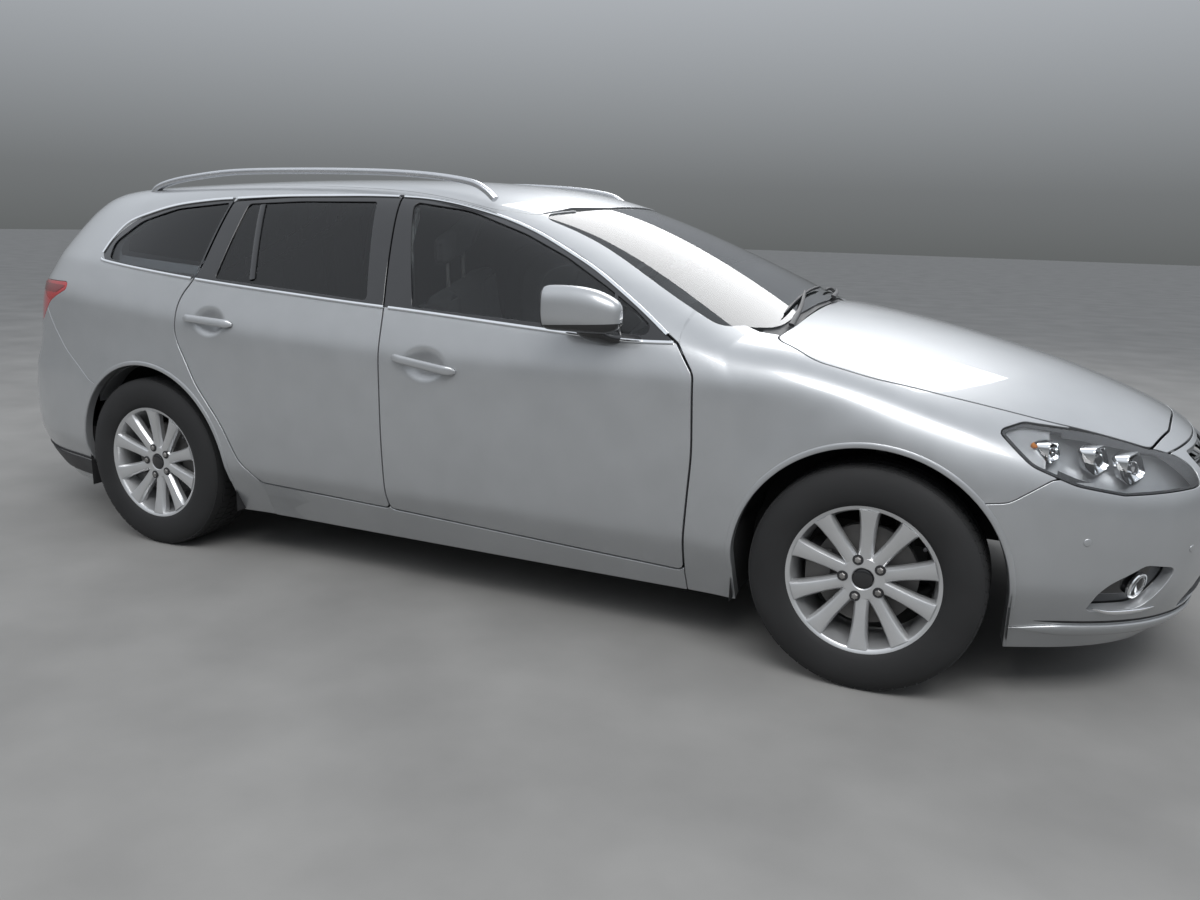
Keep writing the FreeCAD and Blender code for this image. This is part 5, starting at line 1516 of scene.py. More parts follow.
@dataclass
class RoadWheel(Maker):
    """One road wheel with its tyre, about the origin with its outer face at -Y; mm from mid-plane and axis."""

    pairs: int = 5
    pair_spread: float = 17.0
    first_pair: float = 18.0
    first_stud: float = 54.0
    stud_circle: float = 57.15
    valve_radius: float = 199.0
    side_rib_y: float = 101.5
    side_rib_height: float = 1.4
    groove_radius: float = 329.0
    tread_radius: float = 334.8
    block_share: float = 0.43
    # Columns: radius, half-width of the face, half-width at the back, face, back.
    spoke_rows: Table = (
        (60, 15, 22, 77, 50), (84, 14.5, 21, 79, 50), (115, 15, 21, 83, 54), (150, 17, 23, 88, 58),
        (180, 20, 26, 92.5, 62), (198, 23, 29, 95.5, 66), (207, 27, 32, 96.5, 70))
    # Columns: y, radius.
    barrel: Table = (
        (-100, 232), (-98.5, 233.5), (-96, 233.5), (-94.5, 231), (-92, 221), (-88, 215.5), (88, 215.5), (95, 232),
        (100, 232), (92, 207), (60, 198), (20, 190), (-55, 196), (-72, 203), (-86, 205), (-92, 207.5), (-95.5, 212),
        (-97.5, 219), (-99.5, 226))
    sidewall: Table = (
        (-94, 217), (-100, 221), (-107, 236), (-111.5, 256), (-112.5, 276), (-110, 296), (-105, 312), (-99, 322),
        (-92, 328.5), (-85, 332), (-84, 332.2))
    hub: Table = ((-50, 20), (-50, 69), (-66, 70), (-74, 66), (-77.5, 60), (-78, 34), (-76, 31), (-70, 30), (-60, 30),
                  (-60, 20))
    # The black disc round each nut, painted shade of its recess. Columns: y, radius.
    pocket: Table = ((-77.5, 15.5), (-79.6, 15.5), (-80.0, 14.6), (-79.0, 13.4), (-78.7, 0.5))
    nut: Table = ((-78.5, 9.5), (-83, 9.5), (-85, 7.5), (-85.6, 4), (-85.7, 0.5))
    cap_line: Table = ((-60, 29), (-75, 29), (-79, 27.5), (-80.6, 23), (-81.2, 12), (-81.3, 0.5))
    valve_line: Table = ((0, 4.5), (-18, 4.5), (-19, 5.5), (-30, 5.5), (-31, 4), (-31.2, 0.5))
    # The tread's rows of blocks. Columns: low y, high y, count, skew, first block.
    tread_rows: Table = ((-94, -66, 58, 0.30, 0.4), (-60, -24, 72, 0.16, 0.0), (-18, 18, 72, -0.1, 0.5),
                         (24, 60, 72, 0.16, 0.25), (66, 94, 58, 0.30, 0.1))

    def spoke(self, degrees: float) -> Shape:
        """One spoke at an angle from straight up, clockwise as seen from outside.

        Args:
            degrees: its angle.

        Returns:
            The spoke.
        """
        turn = math.radians(degrees)
        out = np.array((math.sin(turn), 0, math.cos(turn)))
        side = np.array((out[2], 0, -out[0]))
        rings = []
        for radius, half, back_half, face, back in self.spoke_rows:
            row = ((-back_half, back), (-back_half * 1.01, face - 13), (-half - 2.5, face - 4.5),
                   (-half, face - 1.2), (-half + 3, face), (0, face + 0.8), (half - 3, face), (half, face - 1.2),
                   (half + 2.5, face - 4.5), (back_half * 1.01, face - 13), (back_half, back))
            rings.append([out * radius + side * s - np.array((0, y, 0)) for s, y in row])
        return Shape().loft(rings)

    def rim(self) -> Shape:
        """Barrel, paired spokes and hub.

        Returns:
            The rim.
        """
        shape = Shape().lathe(self.barrel, 120, closed=True)
        for pair in range(self.pairs):
            for offset in (-self.pair_spread, self.pair_spread):
                shape.join(self.spoke(pair * 72 + self.first_pair + offset))
        return shape.lathe(self.hub, 80, closed=True)

    def studs(self) -> tuple[Shape, Shape]:
        """The black discs of painted shade in the five nuts' recesses, and the nuts.

        Returns:
            Both shapes.
        """
        pocket_shades, nuts = Shape(), Shape()
        for stud in range(self.pairs):
            turn = math.radians(stud * 72 + self.first_stud)
            shift = (math.sin(turn) * self.stud_circle, 0, math.cos(turn) * self.stud_circle)
            pocket_shades.join(Shape().lathe(self.pocket, 28).turned(np.eye(3), shift))
            nuts.join(Shape().lathe(self.nut, 6).turned(np.eye(3), shift))
        return pocket_shades, nuts

    def tyre(self) -> tuple[Shape, Shape]:
        """Sidewalls with the belt under the tread, and the tread's blocks.

        Returns:
            Both shapes.
        """
        profile = list(self.sidewall) + [(-y, r) for y, r in reversed(self.sidewall)]
        profile += [(90, 214.5), (-90, 214.5)]
        carcass = Shape().lathe(profile, 144, closed=True)
        for sign in (-1, 1):
            at, crest = sign * self.side_rib_y, sign * self.side_rib_y + sign * self.side_rib_height
            carcass.lathe(((at, 226), (crest, 227), (crest, 229), (at, 230)), 96, closed=True)
        blocks = Shape()
        for low, high, count, skew, start in self.tread_rows:
            pitch = 2 * math.pi / count
            for number in range(count):
                at = (number + start) * pitch
                corners = []
                for radius in (self.groove_radius, self.tread_radius):
                    for y, shift in ((low, -skew), (high, skew)):
                        edge = abs(y) > 90
                        r = radius - (4.2 if edge else 0.6 if abs(y) > 60 else 0.0)
                        for side in (-self.block_share, self.block_share):
                            turn = at + (side + shift * 0.5) * pitch
                            corners.append((r * math.sin(turn), y, r * math.cos(turn)))
                blocks.add(corners, ((4, 5, 7, 6), (0, 4, 6, 2), (1, 3, 7, 5), (0, 1, 5, 4), (2, 6, 7, 3)))
        return carcass, blocks

    def cap(self) -> Shape:
        """The plain black cap over the hub."""
        return Shape().lathe(self.cap_line, 48)

    def valve(self) -> Shape:
        """The valve by the rim's edge.

        Returns:
            The valve.
        """
        turn, radius = math.radians(self.first_stud), self.valve_radius
        return Shape().lathe(self.valve_line, 16).turned(np.eye(3), (math.sin(turn) * radius, -62,
                                                                     math.cos(turn) * radius))

    def build(self) -> None:
        """Puts the four wheels on their hubs."""
        fin = self.finishes
        rim = self.rim().build("rim", fin["alloy"], 24)
        pocket_shades, nuts = self.studs()
        carcass, blocks = self.tyre()
        parts = (
            (rim, "alloy", "wheel"),
            # The stud pockets are flat black discs: painted shade of the recesses round the nuts.
            (pocket_shades.build("stud_pocket_shades", fin["black_plastic"]), "black_plastic", ""),
            (nuts.build("studs", fin["bare_steel"], 20), "bare_steel", ""),
            (self.cap().build("cap", fin["gloss_black"]), "black_plastic", ""),
            (self.valve().build("valve", fin["black_plastic"]), "black_plastic", ""),
            (carcass.build("carcass", fin["tyre"], 40), "tyre", "tyre"),
            (blocks.build("tread", fin["tyre"], 20), "tyre", ""),
        )
        for axle, x in (("front", FRONT_AXLE_X), ("rear", REAR_AXLE_X)):
            for side, sign in (("right", 1.0), ("left", -1.0)):
                body = f"wheel_{axle}_{side}"
                for source, slot, node in parts:
                    piece = self.placed(source, f"{source.name}_{body}", x, sign)
                    place(piece, body, slot, *((f"{node}_{axle}_{side}",) if node else ()))
        for source, _, _ in parts:
            bpy.data.objects.remove(source)

    @staticmethod
    def placed(source: bpy.types.Object, name: str, x: float, sign: float) -> bpy.types.Object:
        """A copy with its vertices at one hub; the left ones are mirrored.

        Args:
            source: the piece about the origin.
            name: of the copy.
            x: the axle's place.
            sign: 1 for the right, -1 for the left.

        Returns:
            The copy.
        """
        mesh = source.data.copy()
        mesh.transform(Matrix.Translation((x / 1000, -sign * WHEEL_Y / 1000, TYRE_RADIUS / 1000))
                       @ Matrix.Diagonal((1, sign, 1, 1)))
        if sign < 0:
            mesh.flip_normals()
        mesh.name = name
        piece = bpy.data.objects.new(name, mesh)
        bpy.context.scene.collection.objects.link(piece)
        return piece


@dataclass
class Trim(Maker):
    """Chrome strips, handles, mirrors, rails and wipers."""

    strip_height: float = 7.5
    strip_lift: float = 2.2
    belt_width: float = 11.0
    upper_width: float = 13.0
    # Strips, broken at the shut-lines: name, line, rear end, front end, body.
    strip_runs: tuple[tuple[str, Table, float, float, str], ...] = (
        ("belt_front", CUTS.belt_trim, -196.0, 836.0, "door_front_%s"),
        ("belt_rear", CUTS.belt_trim, -1060.0, -206.0, "door_rear_%s"),
        ("belt_quarter", CUTS.belt_trim, -1586.0, -1071.0, "shell"),
        ("upper_front", CUTS.upper_trim, -284.0, 812.0, "door_front_%s"),
        ("upper_rear", CUTS.upper_trim, -1008.0, -298.0, "door_rear_%s"),
        ("upper_quarter", CUTS.upper_trim, -1594.0, -1019.0, "shell"))
    handle_rise: float = 15.0
    # The mirror's shell. Columns: x, centre z, half height, centre y, half depth.
    mirror_rows: Table = (
        (700, 1040, 20, -962, 12), (694, 1040, 34, -962, 24), (680, 1041, 46, -963, 33), (655, 1044, 56, -965, 39),
        (620, 1049, 63, -966, 43), (570, 1053, 67, -965, 44.5), (520, 1054, 68, -965, 44.5), (480, 1054, 67, -966, 44),
        (464, 1054, 65, -966, 43), (456, 1054, 61, -966, 40))
    mirror_back_x: float = 456.0
    mirror_y: float = -966.0
    mirror_z: float = 1054.0
    # The mirror's stalk. Columns: y, x, z, width, height.
    stalk_rows: Table = (
        (-864, 632, 963, 96, 34), (-890, 622, 963, 84, 32), (-915, 606, 970, 74, 34), (-940, 590, 985, 78, 40),
        (-958, 582, 1002, 80, 36))
    rail_y: float = -590.0
    # The roof rail seen from the side. Columns: x, z.
    rail_line: Table = (
        (58, 1374), (24, 1402), (-40, 1430), (-200, 1451), (-420, 1462), (-760, 1465), (-1100, 1459), (-1330, 1437),
        (-1450, 1417), (-1516, 1396), (-1540, 1374))

    def strips(self) -> None:
        """The bright lines under and over the side windows, broken at the shut-lines."""
        for name, table, low, high, body in self.strip_runs:
            line = smooth_line(table, 10)
            line = line[(line[:, 0] >= low) & (line[:, 0] <= high)]
            path, normals = on_form(line, View.SIDE, BODY.upper, self.strip_lift)
            width = self.belt_width if name.startswith("belt") else self.upper_width
            section = oval(width, self.strip_height, 16, 3)
            self.pair(Shape().sweep(path, normals, section), name, "chrome", body, "bright_trim")

    def handles(self) -> None:
        """The door handles' bars over their cups."""
        for name, start, end, body in (("handle_front", (-150, 850), (102, 819), "door_front_%s"),
                                       ("handle_rear", (-1089, 920), (-852, 908), "door_rear_%s")):
            t = np.linspace(0, 1, 36)
            line = np.array(start) * (1 - t)[:, None] + np.array(end) * t[:, None]
            lift = 3 + self.handle_rise * np.minimum(1, np.sin(t * math.pi) * 2.2) ** 0.8
            path, normals = on_form(line, View.SIDE, BODY.upper, lift)
            taper = np.clip(np.minimum(t, 1 - t) * 14, 0.12, 1) ** 0.5
            taper = taper * (0.86 + 0.14 * t)
            self.pair(Shape().sweep(path, normals, oval(31, 15, 24, 2.5), taper), name, "paint", body)
            feet = Shape()
            for at in (0.08, 0.9):
                middle = np.array(start) * (1 - at) + np.array(end) * at
                ends, normal = on_form(np.array((middle, middle)), View.SIDE, BODY.upper, np.array((-12.0, 8.0)))
                side = unit(np.cross(normal[0], (0, 0, 1.0)))
                up = np.cross(side, normal[0])
                ring = oval(34, 20, 16, 3)
                feet.loft([[e + side * u + up * v for u, v in ring] for e in ends])
            self.pair(feet, name + "_feet", "paint", body)

    def mirrors(self) -> None:
        """The door mirrors: shell, dark underside, glass and foot."""
        turn = np.linspace(0, 2 * math.pi, 61)
        grid = []
        for x, z, high, y, deep in smooth_line(self.mirror_rows, 6):
            c, s = np.cos(turn), np.sin(turn)
            grid.append(np.stack((np.full_like(turn, x), y + np.sign(c) * np.abs(c) ** 0.72 * deep,
                                  z + np.sign(s) * np.abs(s) ** 0.72 * high), 1))
        sheet = Sheet.from_grid(np.array(grid))
        centre = sheet.points.mean(0)
        if ((sheet.points - centre) * sheet.normals).sum() < 0:
            sheet = sheet.flipped()

        def split(p: Array) -> Array:
            """How far points lie over the line between the shell and its dark base."""
            return p[:, 2] - (1003 + 0.07 * (p[:, 0] - self.mirror_back_x))

        door = "door_front_%s"
        shell, base = sheet.cut(split), sheet.cut(opposite(split))
        for side in Side:
            body = door.replace("%s", side.value)
            self.put(side.of(shell), "mirror_shell_" + side.value, "paint", body, "paint", "mirror_" + side.value)
            self.put(side.of(base), "mirror_base_" + side.value, "gloss_black", body, "black_plastic")
        middle_y, middle_z = self.mirror_y, self.mirror_z
        front = Shape().add([(700, -962 + 12 * math.cos(a), 1040 + 20 * math.sin(a)) for a in turn[:-1]],
                            [tuple(range(60))])
        self.pair(front, "mirror_nose", "paint", door)
        glass = oval(78, 118, 40, 3.2)
        face = Shape().add([(461, middle_y + u, middle_z + v) for u, v in glass], [tuple(range(40))])
        self.pair(face, "mirror_glass", "chrome", door, "bright_trim")
        rim = Shape().loft([[(x, middle_y + u * k, middle_z + v * k) for u, v in oval(84, 124, 40, 3.0)]
                            for x, k in ((470, 0.9), (456, 1.0), (457, 0.94), (463, 0.92))], caps=False)
        self.pair(rim, "mirror_rim", "black_plastic", door)
        rings = [[(x + u, y, z + v) for u, v in oval(wide, high, 24, 2.6)]
                 for y, x, z, wide, high in smooth_line(self.stalk_rows, 8)]
        self.pair(Shape().loft(rings), "mirror_stalk", "gloss_black", door, "black_plastic")

    def sails(self) -> None:
        """The black corner ahead of each front window, and the bar in each rear one."""
        for name, ends, width, body in (("sail_bar", ((605, 1098), (660, 974)), 11, "door_front_%s"),
                                        ("window_bar", ((-872, 1338), (-797, 1072)), 24, "door_rear_%s")):
            t = np.linspace(0, 1, 24)[:, None]
            line = np.array(ends[0]) * (1 - t) + np.array(ends[1]) * t
            path, normals = on_form(line, View.SIDE, BODY.upper, -3.0)
            self.pair(Shape().sweep(path, normals, oval(width, 8, 12, 4)), name, "gloss_black", body, "black_plastic")

    def rails(self) -> None:
        """The roof rails, merging with the roof at each end."""
        line = smooth_line(self.rail_line, 12)
        path = np.stack((line[:, 0], np.full(len(line), self.rail_y), line[:, 1]), 1)
        normals = unit(np.stack((-np.gradient(line[:, 1]), np.zeros(len(line)), np.gradient(line[:, 0])), 1))
        normals *= np.sign(normals[:, 2:3])
        right = Shape().sweep(path, normals, oval(32, 23, 24, 2.8))
        self.put(right, "rail_right", "rail", "shell", "rail", "roof_rails")
        self.put(right.mirrored(), "rail_left", "rail")

    def wipers(self) -> None:
        """Two arms with their blades at the foot of the windscreen."""
        arms, blades = Shape(), Shape()
        for pivot, tip, blade in (((1104, -560), (1052, -190), ((1064, -500), (1046, 110))),
                                  ((1112, 30), (1046, 390), ((1068, 100), (1006, 640)))):
            line = smooth_line((pivot, ((pivot[0] + tip[0]) / 2 + 8, (pivot[1] + tip[1]) / 2), tip), 14)
            path, normals = on_form(line, View.TOP, BODY.upper, np.linspace(6, 15, len(line)))
            arms.sweep(path, normals, oval(16, 8, 12, 3), np.linspace(1.2, 0.6, len(line)))
            line = smooth_line(blade, 14)
            path, normals = on_form(line, View.TOP, BODY.upper, 6.0)
            blades.sweep(path, normals, oval(9, 12, 12, 2.5), np.clip(np.minimum(
                np.linspace(0, 1, len(line)), np.linspace(1, 0, len(line))) * 12, 0.4, 1))
        self.put(arms, "wiper_arms", "black_plastic")
        self.put(blades, "wiper_blades", "black_plastic")

    def build(self) -> None:
        """Makes all the trim."""
        self.strips()
        self.handles()
        self.mirrors()
        self.sails()
        self.rails()
        self.wipers()


@dataclass
class Nose(Maker):
    """Headlamps, grille surround, intakes and the front bumper's small pieces."""

    skins: Skins
    # The squares under the lens. Columns: x or y, z, half width, half height, view.
    modules: tuple[tuple[float, float, float, float, View], ...] = (
        (1900, 737, 32, 27, View.SIDE), (2022, 714, 44, 38, View.SIDE), (-648, 690, 54, 41, View.NOSE))
    lamp_aim: tuple[float, float, float] = (1.0, -0.34, 0.03)
    lamp_depth: float = 66.0
    wing_lift: float = -8.5
    rim_lift: float = -13.0
    slat_lift: float = -11.5
    slat_count: int = 7
    slat_foot_z: float = 480.0
    slat_pitch: float = 36.0
    recess_depth: float = 34.0
    blade_angle: float = 41.0
    lip_stand: float = 9.0
    liner_stand: float = 8.0
    # A parking sensor. Columns: y, radius.
    sensor: Table = ((2, 11), (-0.6, 11), (-1.6, 10), (-2, 8.5), (-2.1, 0.5))
    # One half of the chrome wing seen from the front. Columns: y, z.
    wing_line: Table = ((-508, 722), (-470, 702), (-436, 640), (-352, 548), (-262, 478), (-150, 452), (0, 446))

    def headlamps(self) -> None:
        """The lamps' bowls, borders and chrome squares under the lens."""
        lens = self.skins.lens
        lamp = grown(self.skins.head_lamp, -self.skins.lens_margin)
        rolled = lens.shifted(3).rolled(0.5, self.lamp_depth, lip=1)
        walls = Sheet(rolled.points, rolled.normals, rolled.triangles[len(lens.triangles):])
        border = lens.cut(lambda p: 6 - lamp(p)).shifted(4.5)
        top_band = lens.cut(lambda p: 16 - lamp(p), lambda p: p[:, 2] - 672, beyond(0, 1900.0)).shifted(5)
        grey = lens.cut(beyond(0, 1872.0, -1.0)).shifted(16)
        smoked = lens.cut(beyond(1, -545.0)).shifted(9)
        sheets = (
            ("lamp_wall", walls, "gloss_black", "black_plastic"),
            ("lamp_back", lens.shifted(self.lamp_depth - 2), "lamp_grey", "bright_trim"),
            ("lamp_border", border, "gloss_black", "black_plastic"),
            ("lamp_top_band", top_band, "gloss_black", "black_plastic"),
            ("lamp_plate", grey, "lamp_grey", "bright_trim"),
            ("lamp_smoked", smoked, "gloss_black", "black_plastic"),
        )
        for name, sheet, finish, slot in sheets:
            self.pair(sheet, name, finish, "shell", slot)
        frames, bulbs, ambers = Shape(), Shape(), Shape()
        aim = unit(np.array(self.lamp_aim))
        turn = facing(aim)
        for u, z, wide, high, view in self.modules:
            point, _ = on_form(np.array(((u, z),), float), view, BODY.lower)
            centre = point[0] - aim * (wide * 0.5 + 14)
            # Each ring's depth ahead of the centre and share of the width.
            steps = ((-34, 0.9), (8, 1.08), (11, 1.06), (11, 0.98), (4, 0.92), (-18, 0.66), (-26, 0.30))
            rings = [[(a * share, -depth, b * share) for a, b in oval(2 * wide, 2 * high, 32, 6)]
                     for depth, share in steps]
            frames.join(Shape().loft(rings, caps=False).turned(turn, centre))
            small = min(wide, high) * 0.52
            dome = [(-10, small * 1.25), (8, small * 1.2), (8, small * 1.02)]
            frames.join(Shape().lathe([(-d, r) for d, r in dome], 36).turned(turn, centre))
            ball = [(-(2 + small * 0.75 * math.sin(a)), small * math.cos(a)) for a in np.linspace(0, 1.5, 9)]
            bulbs.join(Shape().lathe(ball, 36).turned(turn, centre))
        point, _ = on_form(np.array(((1858, 752),), float), View.SIDE, BODY.lower)
        amber = oval(30, 15, 20, 3)
        rings = [[(a * k, -d, b * k) for a, b in amber] for d, k in ((-8, 1), (3, 0.95), (6, 0.7), (7, 0.05))]
        ambers.loft(rings)
        self.both(frames, "lamp_squares", "chrome", "bright_trim", sharp=38)
        self.both(bulbs, "lamp_projectors", "clear_lens", "clear_lens")
        self.both(ambers.turned(turn, point[0] - aim * 22), "lamp_indicators", "amber", "red_lens")

    def grille(self) -> None:
        """The chrome wing round the grille's lower edge to the lamps, and the plain bar."""
        line = smooth_line(self.wing_line + tuple((-y, z) for y, z in self.wing_line[-2::-1]), 9)
        path, normals = on_form(line, View.NOSE, BODY.lower, self.wing_lift)
        t = np.linspace(-1, 1, len(line))
        taper = 0.55 + 0.6 * np.exp(-((np.abs(t) - 0.62) / 0.2) ** 2) - 0.35 * np.clip((np.abs(t) - 0.93) / 0.07, 0, 1)
        wing = Shape().sweep(path, normals, oval(30, 13, 18, 3), taper)
        self.put(wing, "grille_wing", "chrome", "shell", "bright_trim")
        inner = line * np.array((0.955, 1.0)) + np.array((0, 9))
        path, normals = on_form(inner, View.NOSE, BODY.lower, self.rim_lift)
        self.put(Shape().sweep(path, normals, oval(20, 20, 12, 4)), "grille_rim", "gloss_black", "shell",
                 "black_plastic")
        cross = Shape()
        for number in range(self.slat_count):
            z = self.slat_foot_z + number * self.slat_pitch
            reach = np.interp(z, (440, 468, 660, 712), (60, 240, 430, 395))
            y = np.linspace(-reach, reach, 60)
            path, normals = on_form(np.stack((y, np.full_like(y, z)), 1), View.NOSE, BODY.lower, self.slat_lift)
            cross.sweep(path, normals, oval(9, 16, 10, 2.2))
        self.put(cross, "grille_slats", "gloss_black", "shell", "black_plastic")

    def bumper(self) -> None:
        """Lower intake, fog recesses, lip, blade and sensors."""
        nose = self.skins.nose
        mesh = nose.cut(within(mirrored_outline(CUTS.lower_intake, 0), Plane.FRONT, 6)).shifted(self.recess_depth)
        self.put(mesh.whole(), "intake_back", "liner")
        bars = Shape()
        for z in (288, 320, 352):
            y = np.linspace(-1, 1, 60) * np.interp(z, (262, 382), (492, 425))
            path, normals = on_form(np.stack((y, np.full_like(y, z)), 1), View.NOSE, BODY.lower, -12.0)
            bars.sweep(path, normals, oval(8, 20, 10, 2.5))
        self.put(bars, "intake_bars", "black_plastic")
        pocket = nose.cut(within(CUTS.fog_recess, Plane.FRONT, 5)).shifted(self.recess_depth)
        self.pair(pocket, "fog_pocket", "gloss_black", "shell", "black_plastic")
        point, normal = on_form(np.array(((-668, 360),), float), View.NOSE, BODY.lower, -28.0)
        turn = facing(unit(normal[0] + np.array((0.4, 0.0, 0.0))))
        ring = Shape().lathe(((6, 38), (-2, 40), (-5, 38), (-5, 34), (1, 32), (5, 20), (7, 6), (7, 0.5)), 40)
        glass = Shape().lathe(((0, 34), (-5, 33), (-9, 26), (-12, 14), (-13, 0.5)), 40)
        self.both(ring.turned(turn, point[0]), "fog_bowl", "chrome", "bright_trim")
        self.both(glass.turned(turn, point[0]), "fog_glass", "clear_lens", "clear_lens")
        angles = np.linspace(-self.blade_angle, self.blade_angle, 150)
        fade = np.clip((self.blade_angle - np.abs(angles)) / 6, 0.1, 1)
        rise = 222 + 18 * np.clip((np.abs(angles) - 14) / 28, 0, 1)
        path, normals = around(BODY.lower, self.skins.nose_axis_x, angles, rise, 3.0)
        self.put(Shape().sweep(path, normals, oval(40, 17, 16, 2.6), fade), "bumper_blade", "paint")
        path, normals = around(BODY.lower, self.skins.nose_axis_x, angles, rise + 27, -1.5)
        self.put(Shape().sweep(path, normals, oval(9, 7, 10, 3), fade), "bumper_line", "liner")
        eye = ((-738, 312), (-700, 296), (-640, 294), (-600, 300))
        path, normals = on_form(smooth_line(eye, 8), View.NOSE, BODY.lower, 2.0)
        self.both(Shape().sweep(path, normals, oval(15, 9, 12, 2.6), np.sin(np.linspace(0.2, 2.94, len(path)))),
                  "fog_lip", "bright_trim", "bright_trim")
        sensors = dots(((-800, 512), (-560, 470)), View.NOSE, BODY.lower, self.sensor)
        self.both(sensors, "front_sensors", "paint", "paint")

    def arches(self) -> None:
        """The turned lip round each wheel opening."""
        lips = Shape()
        radius = ARCH_RADIUS + self.lip_stand
        for axle_x, inside, low, high in ((FRONT_AXLE_X, BODY.lower, -4, 186), (REAR_AXLE_X, BODY.upper, -4, 184)):
            turn = np.radians(np.linspace(low, high, 110))
            line = np.stack((axle_x + radius * np.cos(turn), ARCH_CENTRE_Z + radius * np.sin(turn)), 1)
            path, normals = on_form(line, View.SIDE, inside, -1.0)
            lips.sweep(path, normals, oval(17, 8, 12, 2.6))
        self.both(lips, "arch_lips", "paint", "paint")
        liners = Shape()
        radius = ARCH_RADIUS + self.liner_stand
        side_line = [(radius * math.cos(a), ARCH_CENTRE_Z + radius * math.sin(a)) for a in np.linspace(0.24, 0, 6)]
        side_line += [(radius, z) for z in np.linspace(320, 186, 6)]
        for axle_x, outer_y in ((FRONT_AXLE_X, -858.0), (REAR_AXLE_X, -862.0)):
            for sign in (-1, 1):
                grid = [[(axle_x + sign * x, y, z) for x, z in side_line] for y in np.linspace(outer_y, -610, 8)]
                liners.loft(np.array(grid), caps=False, closed=False)
        self.both(liners, "arch_liners", "liner", "liner")

    def build(self) -> None:
        """Makes the front's pieces."""
        self.headlamps()
        self.grille()
        self.bumper()
        self.arches()


